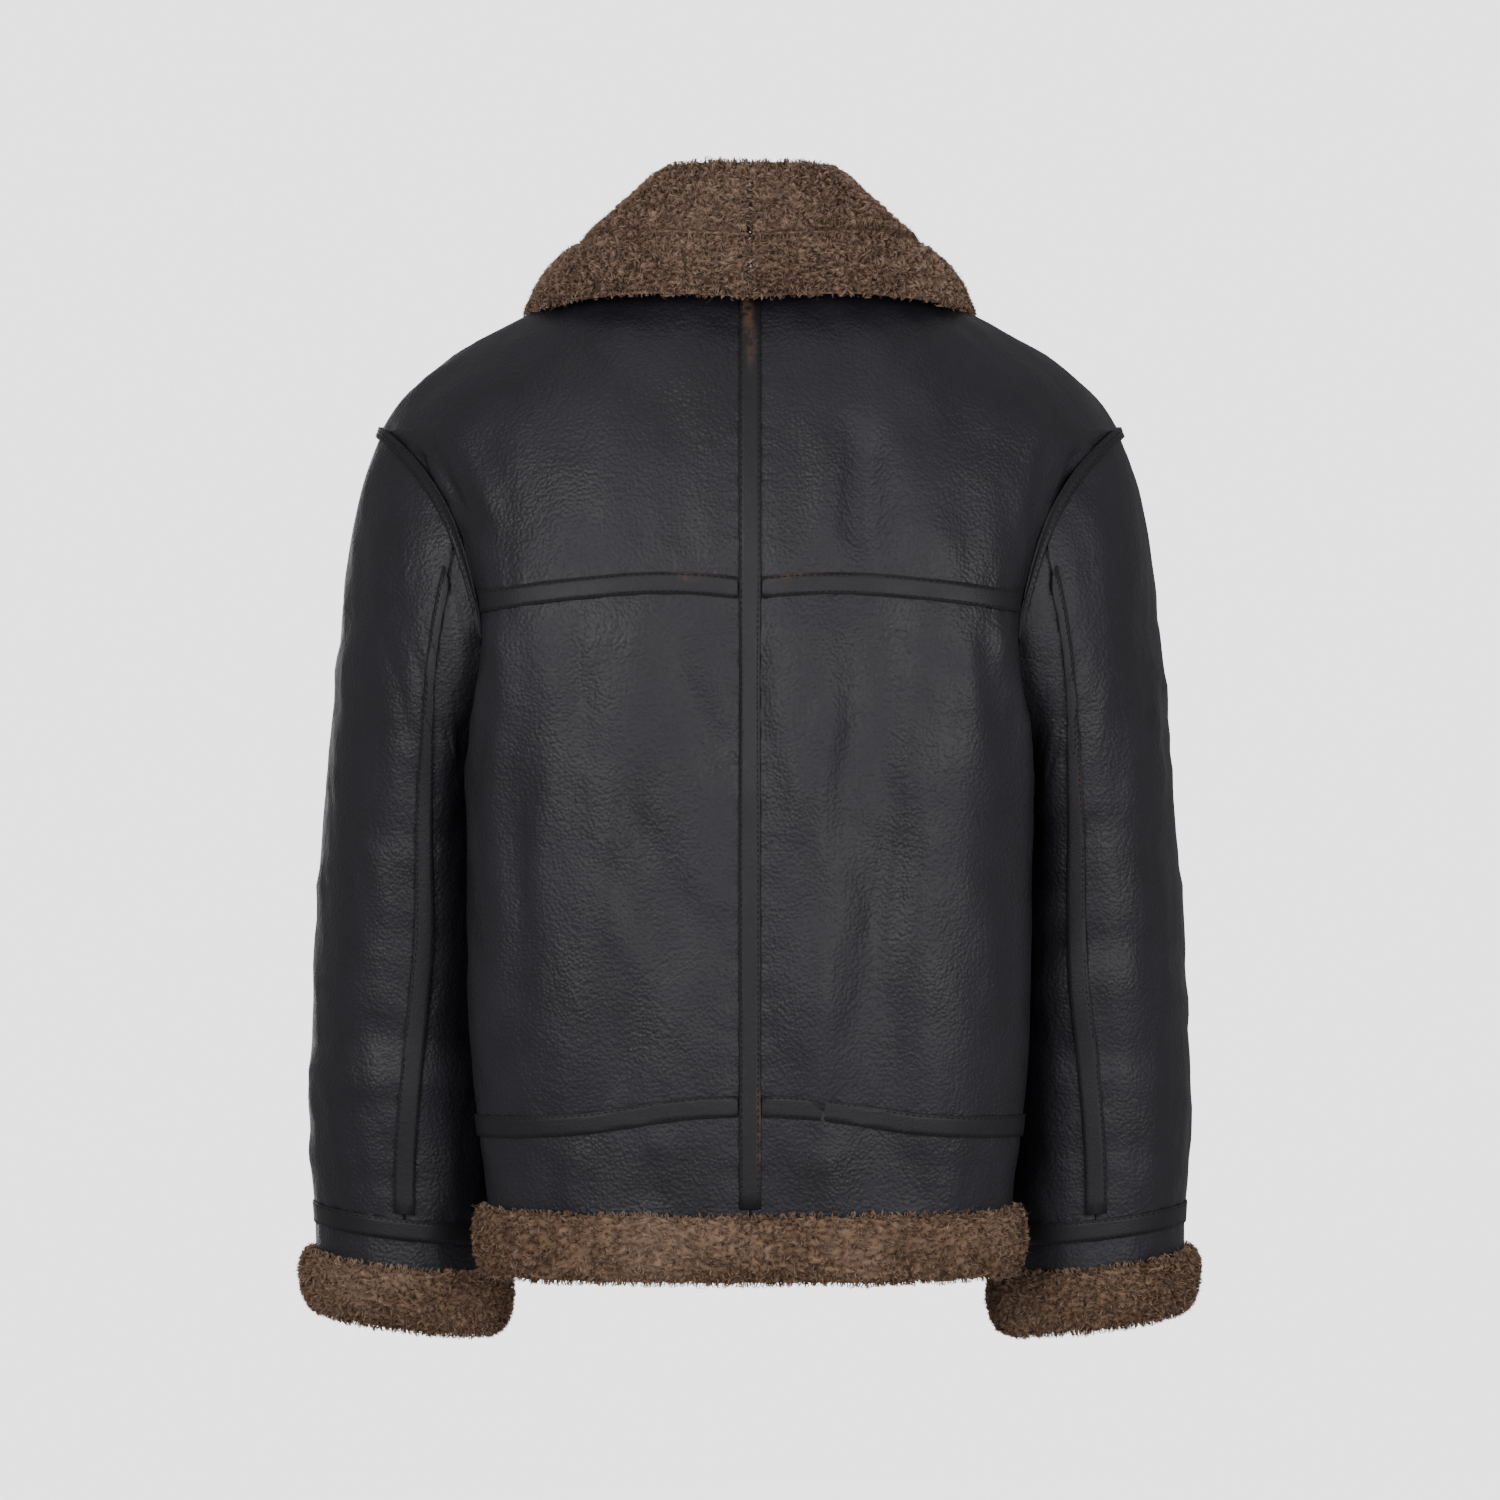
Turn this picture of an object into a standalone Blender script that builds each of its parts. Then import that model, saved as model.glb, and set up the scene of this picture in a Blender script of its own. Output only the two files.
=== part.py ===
"""Sheepskin flying jacket, zipped up and hollow, in the shape it has on a standing figure.

Metres, +Z up. The front faces -Y, the back +Y. The origin is between the shoulders, at the level
where the jacket hangs from the neck and shoulders of its wearer.

Each panel is a wall between two skins: the leather face, and the wool face a wall's depth inside it.
The skins are worked out from the section tables below, so that neighbours share their seam points.
"""

from math import cos, exp, pi, radians, sin

import bmesh
import bpy
import numpy as np
from mathutils import Vector
from mathutils.bvhtree import BVHTree

MM = 0.001

# Depths and widths, in millimetres
WALL = 6.0  # leather and clipped wool together
SEAM = 0.15  # each panel stops this far short of the seam line
STRIP_LIFT = 0.9  # a sewn strip lies this far off the panel facets
STRIP_THICK = 1.3
SLEEVE_STRIP_LIFT = 1.6
TIP_LIFTS = {0: 3.2, 1: 2.8, 2: 1.7}  # the armhole strip bends most over the shoulder point
STRIP_HALF = 7.5
ARMHOLE_EASE = 0.6  # the sleeve's edge stops this much shorter under the armhole strip
WOOL_COLLAR = 10.0  # depth of the collar's skin and wool
ZIP_HALF_OPENING = 8.0
PANEL_END = -674.0
BAND_REST = -631.0  # the strips that run down the body stop here, above the hem band

# The armhole, an oval leaning in from the shoulder point to the underarm
ARM_TOP = -97.0
ARM_BOTTOM = -330.0
ARM_IN_X = 170.0
ARM_REACH_X = 87.0
ARM_CURL = 3.2
ARM_MIDDLE_Y = 5.0
ARM_BACK_DEPTH = 90.0
ARM_FRONT_DEPTH = 85.0
# Shares of the way round the armhole, from the shoulder point to the underarm, where panel rows meet it
ARM_STOPS = (0.0, 0.04, 0.08, 0.12, 0.16, 0.195, 0.26, 0.292, 0.333, 0.375, 0.416, 0.458, 0.5)
YOKE_STOP = 6
BACK_SLEEVE_STOP = 5
FRONT_SLEEVE_STOP = 7

# Sections of the body. y is how far the outline reaches behind (spine, blade, corner) or in front
# (breast, chest, flank) of the middle plane; x is half the width at each of those places.
# Columns: height, spine_y, blade_x, blade_y, corner_x, corner_y, breast_y, chest_x, chest_y, flank_x,
# flank_y, side_x, side_y
BODY = np.array([
    (-681, 136, 102, 133, 176, 81, 135, 98, 125, 160, 78, 151, 0),
    (-640, 137, 103, 134, 177, 82, 136, 99, 126, 162, 79, 152, 0),
    (-577, 144, 106, 142, 187, 86, 143, 105, 135, 176, 84, 161, 0),
    (-520, 147, 107, 146, 190, 88, 146, 106, 138, 186, 86, 164, 0),
    (-450, 150, 108, 149, 192, 90, 147, 107, 139, 187, 88, 164, 0),
    (-380, 151, 108, 150, 193, 92, 146, 108, 139, 187, 88, 165, 0),
    (-330, 152, 108, 151, 192, 101, 146, 108, 140, 186, 94, 173.5, 5),
    (-300, 152, 106, 151, 186, 114, 146, 107, 140, 180, 103, 178, 5),
    (-260, 151, 104, 150, 175, 127, 145, 106, 140, 170, 109, 190, 5),
    (-213, 148, 104, 147, 168, 129, 143, 105, 139, 163, 110, 205, 5),
    (-165, 142, 112, 139, 176, 117, 139, 113, 134, 172, 101, 224, 5),
    (-130, 135, 118, 130, 192, 102, 133, 119, 127, 190, 88, 240, 5),
    (-97, 126, 119, 119, 203, 84, 124, 121, 116, 202, 74, 257, 5),
    (-77, 120, 115, 112, 195, 75, 118, 118, 109, 194, 66, 241, 5),
    (-52.5, 111, 105, 102, 174, 64, 110, 108, 99, 174, 58, 215.5, 5),
    (-24.5, 98, 82, 89, 133, 57, 99, 84, 88, 134, 52, 165, 4),
    (0, 86, 59, 77, 95, 50, 89, 60, 78, 96, 47, 118, 3),
    (20, 71, 40, 62, 63, 39, 76, 41, 64, 64, 39, 80, 2),
])
NECK_HEIGHT = 20.0
NECK_DIP_BACK = 20.0
NECK_DIP_FRONT = 74.0
DIP_START = -165.0

# Height of the two cross seams of the back, at shares of the way from the spine to the side
SEAM_SHARES = (0.0, 0.13, 0.22, 0.34, 0.48, 0.65, 1.0)
YOKE_SEAM = (-214, -210, -210, -213, -216, -220, -220.8)
WAIST_SEAM = (-561, -562, -567, -573, -576.5, -578, -578)

# Long soft folds of the back: where the middle line starts and ends, half its width, and how far
# it stands out (+) or sinks in (-)
# Columns: top_x, top_z, bottom_x, bottom_z, half_width, out
BACK_FOLDS = np.array([
    (-74, -110, -90, -640, 24, -10),
    (-34, -225, -42, -640, 20, 4.5),
    (-128, -215, -132, -600, 30, 4),
    (12, -245, 100, -600, 28, -8),
    (152, -225, 146, -560, 34, 3.5),
    (-107, -125, -112, -200, 18, 4),
    (46, -470, 40, -650, 24, 3.5),
    (218, -118, 206, -150, 9, -4),
    (196, -105, 188, -160, 9, -4),
    (-208, -112, -194, -165, 12, -5),
])
FRONT_FOLDS = np.array([
    (70, -180, 96, -620, 28, -7),
    (-78, -160, -88, -640, 26, -7),
    (128, -300, 122, -640, 26, 4),
    (-130, -260, -128, -600, 28, 4),
    (30, -330, 38, -640, 22, 3.5),
])

# Sections of a sleeve, from the armhole to the wrist. Each is an oval through its outer point
# (over the shoulder or elbow side) and its inner point (next to the body).
# Columns: share, outer_z, outer_x, inner_z, inner_x, middle_y, back_depth, front_depth, hug, back_seam,
# front_seam
SLEEVE = np.array([
    (0.00, ARM_TOP, 257, ARM_BOTTOM, 173.546, 5, 90, 85, 1.0, 0.195, 0.708),
    (0.08, -133, 270.5, -342, 188, 3, 93, 86, 0.75, 0.235, 0.715),
    (0.18, -182, 280, -354, 192, 0, 92, 86, 0.5, 0.265, 0.72),
    (0.30, -245, 287, -370, 190, -4, 88, 85, 0.25, 0.285, 0.72),
    (0.45, -335, 295.5, -412, 186, -9, 83, 82, 0.08, 0.293, 0.72),
    (0.60, -430, 303, -466, 182, -15, 79, 79, 0.0, 0.30, 0.72),
    (0.75, -520, 308, -536, 181.5, -20, 75, 75, 0.0, 0.283, 0.72),
    (0.87, -592, 310, -604, 181, -24, 71, 71, 0.0, 0.268, 0.72),
    (0.95, -646, 306.5, -661, 181, -27, 68, 68, 0.0, 0.262, 0.72),
    (1.00, -706, 303, -722, 181, -29, 66, 66, 0.0, 0.26, 0.72),
])
CUFF_SEAM = 0.95

# Folds of a sleeve: centre as a share round the sleeve and a height, half sizes, and how far it
# stands out (+) or sinks in (-). The two sleeves crease at different heights.
# Columns: round, height, half_round, half_height, out
SLEEVE_CREASES = {
    1: np.array([
        (0.30, -250, 0.10, 15, -3), (0.18, -282, 0.12, 16, 3), (0.33, -322, 0.12, 17, 3),
        (0.20, -352, 0.16, 15, -3), (0.30, -512, 0.22, 17, -5), (0.24, -556, 0.20, 18, 4),
        (0.80, -420, 0.18, 18, -6), (0.74, -455, 0.16, 17, 4), (0.84, -380, 0.14, 15, 3),
        (0.52, -400, 0.10, 16, -4), (0.52, -470, 0.10, 18, -4),
    ]),
    -1: np.array([
        (0.32, -262, 0.10, 14, -4), (0.20, -292, 0.13, 15, 3), (0.34, -340, 0.10, 16, 4),
        (0.22, -378, 0.14, 15, -3), (0.36, -452, 0.11, 15, -5), (0.30, -492, 0.18, 17, 4),
        (0.22, -535, 0.16, 16, -3), (0.80, -405, 0.18, 18, -6), (0.76, -440, 0.16, 17, 4),
        (0.52, -430, 0.10, 17, -4),
    ]),
}

# The collar's wool face at places round the neck, from the spine (0) to the front edge (1):
# the crest of the fold, and the edge of the fall
# Columns: share, crest_x, crest_y, crest_z, edge_x, edge_y, edge_z, bulge
COLLAR = np.array([
    (0.00, 0, 86, 80, 0, 108, -15, 8),
    (0.14, 28, 80, 81, 58, 106, -12, 8),
    (0.28, 50, 62, 81, 104, 88, -12, 8),
    (0.40, 62, 34, 79, 139, 56, -13, 9),
    (0.50, 68, 6, 75, 157, 8, -14, 9),
    (0.62, 66, -28, 66, 157, -46, -31, 10),
    (0.76, 55, -62, 49, 140, -100, -62, 9),
    (0.90, 32, -90, 20, 108, -140, -98, 8),
    (1.00, 14, -100, 2, 76, -158, -126, 7),
])
COLLAR_TURN = 12.0  # radius of the fold, at the wool face
COLLAR_FRONT_RAISE = 7  # how much more its seam rises towards the throat
COLLAR_RAISE = 2.0  # the stand starts this far above the neck seam's edge
COLLAR_CLEAR = 2.4
COLLAR_CREST = 0.44
COLLAR_SEAM = 0.74
TAPE_EDGE = 7.55
TEETH_WIDE = 2.6
SLIDER_Z = -80.0
PULL_LONG = 34.0
STRAP_THICK = 1.4
STRIP_LAST_STOP = 7  # the armhole strip ends here on each side of the underarm

# Section of the wool bands at hem and cuffs: off the panel, share of the height above its end,
# and share of the drop below its end
EDGE_ROLL = (
    (0.0, 0.93, 0.0), (7.0, 1.0, 0.0), (12.5, 0.85, 0.0), (14.5, 0.5, 0.0), (13.5, 0.12, 0.0),
    (8.0, 0.0, 0.75), (-1.0, 0.0, 1.0), (-7.0, 0.0, 0.6), (-6.4, 0.0, 0.3), (0.0, 0.0, 0.3),
)
HEM_HEIGHT = 41.0
HEM_DROP = 8.5
CUFF_HEIGHT = 35.0
CUFF_DROP = 12.0
HEM_REST = 1.5
CUFF_REST = 0.4
COLLAR_KEYS = (0.0, 0.18, 0.36, 0.44, 0.53, 0.70, 0.88, 1.0)

SIDES = ((1, "left"), (-1, "right"))
MATERIALS = {
    "leather": ((0.018, 0.018, 0.020), 0.42, 0.0),
    "strip": ((0.014, 0.014, 0.015), 0.38, 0.0),
    "wool": ((0.125, 0.075, 0.048), 0.95, 0.0),
    "zip_tape": ((0.012, 0.010, 0.010), 0.8, 0.0),
    "brass": ((0.30, 0.23, 0.13), 0.35, 1.0),
}


def smooth(edge0, edge1, value):
    """0 before edge0, 1 after edge1, and an even turn between."""
    share = np.clip((value - edge0) / (edge1 - edge0), 0.0, 1.0)
    return share * share * (3 - 2 * share)


def unit(vectors):
    return vectors / np.maximum(np.linalg.norm(vectors, axis=-1, keepdims=True), 1e-12)


def through(keys, rows, at):
    """The rows of a table as smooth curves, read at any key."""
    keys = np.asarray(keys, float)
    rows = np.asarray(rows, float)
    slopes = np.gradient(rows, keys, axis=0)
    at = np.clip(at, keys[0], keys[-1])
    low = np.clip(np.searchsorted(keys, at, side="right") - 1, 0, len(keys) - 2)
    span = keys[low + 1] - keys[low]
    share = (at - keys[low]) / span
    if rows.ndim > 1:
        share, span = share[..., None], span[..., None]
    square, cube = share**2, share**3
    return (
        (2 * cube - 3 * square + 1) * rows[low]
        + (cube - 2 * square + share) * span * slopes[low]
        + (3 * square - 2 * cube) * rows[low + 1]
        + (cube - square) * span * slopes[low + 1]
    )


def curve_at(points, share):
    """A smooth curve through points[1:-1], with the first and last only steering its ends."""
    spans = len(points) - 3
    place = np.clip(share * spans, 0, spans - 1e-9)
    first = np.floor(place).astype(int)
    f = (place - first)[..., None]
    stack = np.stack(points)
    a, b, c, d = (
        np.take_along_axis(stack, (first + k)[None, ..., None], axis=0)[0] for k in range(4)
    )
    return 0.5 * (
        2 * b + (c - a) * f + (2 * a - 5 * b + 4 * c - d) * f**2 + (3 * b - a - 3 * c + d) * f**3
    )


def armhole_height(stop):
    """Height of a place on the armhole, from its share of the way round."""
    return ARM_TOP - (ARM_TOP - ARM_BOTTOM) * (1 - np.cos(2 * pi * np.asarray(stop))) / 2


def folds_at(folds, x, z):
    """How far the folds of a table move the cloth out at (x, z)."""
    moved = np.zeros_like(x)
    for top_x, top_z, bottom_x, bottom_z, half_width, out in folds:
        down = (top_z - z) / (top_z - bottom_z)
        middle = top_x + (bottom_x - top_x) * np.clip(down, -0.2, 1.2)
        across = np.exp(-(((x - middle) / half_width) ** 2))
        along = smooth(-0.18, 0.16, down) * (1 - smooth(0.86, 1.18, down))
        moved += out * across * along
    return moved


def body_point(face, share, height):
    """A point of the body's leather skin, in millimetres.

    face is 1 for the back and -1 for the front. share runs from -1 at one side seam through 0 on
    the middle line to 1 at the other side seam. height is the section's height.
    """
    share, height = np.broadcast_arrays(np.asarray(share, float), np.asarray(height, float))
    row = through(BODY[:, 0], BODY[:, 1:], height)
    spine, blade_x, blade_y, corner_x, corner_y = (row[..., k] for k in range(5))
    breast, chest_x, chest_y, flank_x, flank_y = (row[..., k] for k in range(5, 10))
    if face < 0:
        spine, blade_x, blade_y, corner_x, corner_y, breast, chest_x, chest_y, flank_x, flank_y = (
            breast, chest_x, chest_y, flank_x, flank_y, spine, blade_x, blade_y, corner_x, corner_y,
        )
    down = np.clip((ARM_TOP - height) / (ARM_TOP - ARM_BOTTOM), 0, 1)
    inside = (height < ARM_TOP - 0.01) & (height > ARM_BOTTOM + 0.01)
    depth = ARM_BACK_DEPTH if face > 0 else ARM_FRONT_DEPTH
    turn = np.sqrt(np.clip(1 - (1 - 2 * down) ** 2, 0, 1))
    edge_x = np.where(inside, ARM_IN_X + ARM_REACH_X * np.exp(-ARM_CURL * down), row[..., 10])
    edge_y = np.where(inside, face * ARM_MIDDLE_Y + depth * turn, face * row[..., 11])
    edge = np.stack([edge_x, edge_y], -1)
    corner = np.stack([corner_x, corner_y], -1)
    beyond = edge + 0.8 * (edge - corner)
    around = np.stack([flank_x, -flank_y], -1)
    free = smooth(-360, -300, height) * (1 - smooth(-118, -80, height))
    steer = around + (beyond - around) * free[..., None]
    points = [
        np.stack([-blade_x, blade_y], -1), np.stack([0 * spine, spine], -1),
        np.stack([blade_x, blade_y], -1), corner, edge, steer,
    ]
    plan = curve_at(points, np.abs(share))
    dip = NECK_DIP_BACK if face > 0 else NECK_DIP_FRONT
    z = height - dip * (1 - np.abs(share)) ** 2 * smooth(DIP_START, NECK_HEIGHT, height)
    x = np.sign(share) * plan[..., 0]
    held = (1 - smooth(0.72, 0.97, np.abs(share))) * (1 - smooth(-60, -20, height))
    folds = BACK_FOLDS if face > 0 else FRONT_FOLDS
    y = plan[..., 1] + folds_at(folds, x, z) * held
    return np.stack([x, face * y, z], -1)


def sleeve_point(side, stop, share):
    """A point of a sleeve's leather skin, in millimetres. side is 1 at +X and -1 at -X."""
    stop, share = np.broadcast_arrays(np.asarray(stop, float), np.asarray(share, float))
    row = through(SLEEVE[:, 0], SLEEVE[:, 1:9], share)
    outer_z, outer_x, inner_z, inner_x, middle_y, back, front, hug = (row[..., k] for k in range(8))
    across = (1 - np.cos(2 * pi * stop)) / 2
    curled = (1 - np.exp(-ARM_CURL * across)) / (1 - exp(-ARM_CURL))
    swing = np.sin(2 * pi * stop)
    x = outer_x + (inner_x - outer_x) * (hug * curled + (1 - hug) * across)
    y = middle_y + np.where(swing > 0, back, front) * swing
    z = outer_z + (inner_z - outer_z) * across
    moved = np.zeros_like(x)
    for around, height, half_round, half_height, out in SLEEVE_CREASES[side]:
        gap = (stop - around + 0.5) % 1.0 - 0.5
        slant = 0.5 * half_height * gap / half_round
        moved += out * np.exp(-((gap / half_round) ** 2) - ((z - height - slant) / half_height) ** 2)
    moved *= smooth(0.05, 0.25, share) * (1 - smooth(0.88, 0.94, share))
    x = x + moved * np.cos(2 * pi * stop)
    y = y + moved * swing
    return np.stack([side * x, y, z], -1)


def collar_point(share, along):
    """A point of the collar's wool face, in millimetres.

    share runs from -1 at one front edge through 0 on the spine to 1 at the other. along runs from
    0 at the neck seam, over the crest, to 1 at the edge of the fall.
    """
    share, along = np.broadcast_arrays(np.asarray(share, float), np.asarray(along, float))
    around = np.abs(share)
    row = through(COLLAR[:, 0], COLLAR[:, 1:], around)
    crest, edge, bulge = row[..., 0:3], row[..., 3:6], row[..., 6:7]
    out = edge - crest
    out[..., 2] = 0
    out = unit(out)
    stand_out = unit(0.65 * neck_out(around) + 0.35 * out)
    up = np.zeros_like(out)
    up[..., 2] = 1
    raised = COLLAR_RAISE + COLLAR_FRONT_RAISE * smooth(0.5, 0.75, around)
    base = neck_line(around) - 0.95 * WOOL_COLLAR * neck_out(around) + raised[..., None] * up
    top = crest - COLLAR_TURN * (stand_out + up)
    over = crest + COLLAR_TURN * (0.95 * out - 0.75 * up)
    fall = unit(edge - over)
    bow = unit(np.cross(fall, np.cross(up, out)))
    bow = bow * np.sign((bow * (out + up)).sum(-1, keepdims=True))
    middle = over + 0.42 * (edge - over) + 0.6 * bulge * bow
    low_fall = over + 0.8 * (edge - over) + 0.95 * bulge * bow
    stand = base + 0.5 * (top - base) - 1.0 * stand_out
    keys = np.array(COLLAR_KEYS)
    rows = np.stack([base, stand, top, crest, over, middle, low_fall, edge])
    slopes = np.gradient(rows, keys, axis=0)
    low = np.clip(np.searchsorted(keys, along, side="right") - 1, 0, len(keys) - 2)
    span = (keys[low + 1] - keys[low])[..., None]
    f = (along - keys[low])[..., None] / span

    def pick(table, index):
        return np.take_along_axis(table, index[None, ..., None], axis=0)[0]

    point = (
        (2 * f**3 - 3 * f**2 + 1) * pick(rows, low)
        + (f**3 - 2 * f**2 + f) * span * pick(slopes, low)
        + (3 * f**2 - 2 * f**3) * pick(rows, low + 1)
        + (f**3 - f**2) * span * pick(slopes, low + 1)
    )
    point[..., 0] *= np.where(share < 0, -1, 1)
    return point


def neck_line(around):
    """The neck seam of the body's skin, from the spine (0) over the shoulder (0.5) to the front (1)."""
    back = body_point(1, np.clip(2 * around, 0, 1), NECK_HEIGHT)
    start = ZIP_HALF_OPENING / (3 * 43.0)
    front = body_point(-1, np.clip(2 * (1 - around), start, 1), NECK_HEIGHT)
    return np.where((around <= 0.5)[..., None], back, front)


def neck_out(around):
    """The level direction away from the neck at each place of the neck seam."""
    step = 0.01
    ahead = neck_line(np.clip(around + step, 0, 1)) - neck_line(np.clip(around - step, 0, 1))
    out = np.stack([ahead[..., 1], -ahead[..., 0], 0 * ahead[..., 0]], -1)
    return -unit(out)


def facet_sums(points):
    """Area vectors of a grid's facets, summed at each of its points."""
    across = points[:-1, 1:] - points[1:, :-1]
    along = points[1:, 1:] - points[:-1, :-1]
    facet = np.cross(across, along)
    sums = np.zeros_like(points)
    for rows in (slice(None, -1), slice(1, None)):
        for columns in (slice(None, -1), slice(1, None)):
            sums[rows, columns] += facet
    return sums


class Skin:
    """A grid of points on a surface, its outward directions, and the points under them."""

    def __init__(self, points, facing, thick=WALL):
        self.points = points
        self.sums = facing * facet_sums(points)
        self.normals = unit(self.sums)
        self.thick = thick

    def under(self):
        return self.points - self.thick * self.normals


def place_of(point):
    return tuple(np.round(point * 10).astype(int))


def join_normals(skins):
    """Gives panels that meet the same outward direction at each point they share."""
    shared = {}
    for skin in skins:
        for point, total in zip(skin.points.reshape(-1, 3), skin.sums.reshape(-1, 3)):
            shared[place_of(point)] = shared.get(place_of(point), 0) + total
    for skin in skins:
        flat = np.array([shared[place_of(point)] for point in skin.points.reshape(-1, 3)])
        skin.sums = flat.reshape(skin.points.shape)
        skin.normals = unit(skin.sums)


def blend_normals(first, second):
    """Turns the directions of two groups of panels towards each other where they nearly agree."""
    tables = []
    for group in (first, second):
        tables.append({
            place_of(point): normal
            for skin in group
            for point, normal in zip(skin.points.reshape(-1, 3), skin.normals.reshape(-1, 3))
        })
    for group, other in ((first, tables[1]), (second, tables[0])):
        for skin in group:
            for index in np.ndindex(skin.points.shape[:2]):
                theirs = other.get(place_of(skin.points[index]))
                if theirs is None:
                    continue
                own = skin.normals[index]
                agree = max(smooth(-0.3, 0.4, own @ theirs), smooth(-150, -125, skin.points[index][2]))
                skin.normals[index] = unit(own + 0.999 * agree * theirs)


def pulled_in(grid, sides, armhole=0.0):
    """The grid with its named border points drawn in by the seam allowance."""
    grid = grid.copy()
    grid[0] += armhole * unit(grid[1] - grid[0])
    if "start" in sides:
        grid[:, 0] += SEAM * unit(grid[:, 1] - grid[:, 0])
    if "end" in sides:
        grid[:, -1] += SEAM * unit(grid[:, -2] - grid[:, -1])
    if "bottom" in sides:
        grid[0] += SEAM * unit(grid[1] - grid[0])
    if "top" in sides:
        grid[-1] += SEAM * unit(grid[-2] - grid[-1])
    return grid


def new_object(name, mesh, material, collection):
    obj = bpy.data.objects.new(name, mesh)
    collection.objects.link(obj)
    mesh.materials.append(material)
    mesh.shade_smooth()
    mesh.set_sharp_from_angle(angle=radians(40))
    return obj


def closed_mesh(name, points, faces):
    """A mesh in metres whose faces point out."""
    mesh = bpy.data.meshes.new(name)
    mesh.from_pydata([tuple(p) for p in np.asarray(points) * MM], [], faces)
    build = bmesh.new()
    build.from_mesh(mesh)
    bmesh.ops.recalc_face_normals(build, faces=build.faces)
    build.to_mesh(mesh)
    build.free()
    return mesh


def wall(name, outer, inner, material, collection, ring=False):
    """A closed wall between two grids of points with the same rows and columns."""
    rows, columns = outer.shape[:2]
    points = np.concatenate([outer.reshape(-1, 3), inner.reshape(-1, 3)])
    inside = rows * columns
    wrap = columns if ring else columns - 1

    def at(row, column, layer):
        return layer * inside + row * columns + column % columns

    faces = []
    for row in range(rows - 1):
        for column in range(wrap):
            for layer in (0, 1):
                faces.append((
                    at(row, column, layer), at(row, column + 1, layer),
                    at(row + 1, column + 1, layer), at(row + 1, column, layer),
                ))
    for row in (0, rows - 1):
        for column in range(wrap):
            faces.append((at(row, column, 0), at(row, column + 1, 0),
                          at(row, column + 1, 1), at(row, column, 1)))
    if not ring:
        for column in (0, columns - 1):
            for row in range(rows - 1):
                faces.append((at(row, column, 0), at(row + 1, column, 0),
                              at(row + 1, column, 1), at(row, column, 1)))
    return new_object(name, closed_mesh(name, points, faces), material, collection)


def swept(name, loops, material, collection, ring=False):
    """A solid through a row of closed sections, each an array of points in order."""
    count, sides = loops.shape[:2]
    points = loops.reshape(-1, 3)
    faces = []
    for step in range(count if ring else count - 1):
        after = (step + 1) % count
        for k in range(sides):
            faces.append((step * sides + k, step * sides + (k + 1) % sides,
                          after * sides + (k + 1) % sides, after * sides + k))
    if not ring:
        faces.append(tuple(range(sides)))
        faces.append(tuple(range((count - 1) * sides, count * sides)))
    return new_object(name, closed_mesh(name, points, faces), material, collection)


def back_rows(low, high, edges, shares):
    """Heights of a back panel's rows: even on the spine, and at given stops on the outer edge."""
    edges = np.asarray(edges, float)
    even = np.linspace(0, 1, len(edges))[:, None]
    stops = ((edges - edges[0]) / (edges[-1] - edges[0]))[:, None]
    outward = smooth(0.1, 1.0, shares)[None, :]
    share = even + (stops - even) * outward
    return low[None, :] + share * (high - low)[None, :]


def seam_height(table, shares):
    return through(SEAM_SHARES, table, shares)


BACK_SHARES = np.array([0, 0.026, 0.09, 0.17, 0.25, 0.34, 0.43, 0.52, 0.61, 0.70, 0.80, 0.90, 0.962, 1])
FRONT_SHARES = np.array([0, 0.12, 0.25, 0.38, 0.51, 0.64, 0.78, 0.90, 0.962, 1])
SIDE_ROWS = np.linspace(-578, ARM_BOTTOM, 9)
LOWER_ROWS = np.array([PANEL_END, BAND_REST, -613, -595, -578])
RIDGE_ROWS = np.array([-78, -58, -38, -19, 0, NECK_HEIGHT])


def edge_rows_up(first, last):
    """Heights of the armhole stops from one to another, upwards."""
    return armhole_height(np.array(ARM_STOPS[last:first + 1]))[::-1]


def back_skins(side):
    """The skins of the lower, middle and upper back panels of one side."""
    shares = BACK_SHARES
    waist = seam_height(WAIST_SEAM, shares)
    yoke = seam_height(YOKE_SEAM, shares)
    level = np.full_like(shares, PANEL_END)
    top = np.full_like(shares, NECK_HEIGHT)
    lower = np.concatenate([
        level[None, :],
        back_rows(np.full_like(shares, BAND_REST), waist, LOWER_ROWS[1:], shares),
    ])
    middle_edges = np.concatenate([SIDE_ROWS, edge_rows_up(12, YOKE_STOP)[1:]])
    middle = back_rows(waist, yoke, middle_edges, shares)
    upper_edges = np.concatenate([edge_rows_up(YOKE_STOP, 0), RIDGE_ROWS])
    upper = back_rows(yoke, top, upper_edges, shares)
    grids = {}
    for name, heights in (("lower", lower), ("middle", middle), ("upper", upper)):
        across = np.broadcast_to(shares, heights.shape)
        grids[name] = Skin(body_point(1, side * across, heights), -side)
    return grids


def front_skin(side):
    edges = np.concatenate([LOWER_ROWS[:-1], SIDE_ROWS, edge_rows_up(12, 0)[1:], RIDGE_ROWS])
    even = np.concatenate([[PANEL_END], np.linspace(BAND_REST, NECK_HEIGHT, len(edges) - 1)])
    shares = FRONT_SHARES[None, :]
    outward = smooth(0.1, 1.0, shares)
    heights = even[:, None] * (1 - outward) + edges[:, None] * outward
    start = ZIP_HALF_OPENING / (3 * through(BODY[:, 0], BODY[:, 7], heights[:, :1]))
    across = start + (1 - start) * shares
    return Skin(body_point(-1, side * across, heights), side)


SLEEVE_ROWS = np.array([
    0, 0.04, 0.08, 0.13, 0.18, 0.24, 0.30, 0.37, 0.45, 0.52, 0.60, 0.67, 0.75, 0.81, 0.87, 0.91, 0.938,
    0.95,
])


WRIST_ROWS = np.array([CUFF_SEAM, 0.9583, 1.0])


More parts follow.
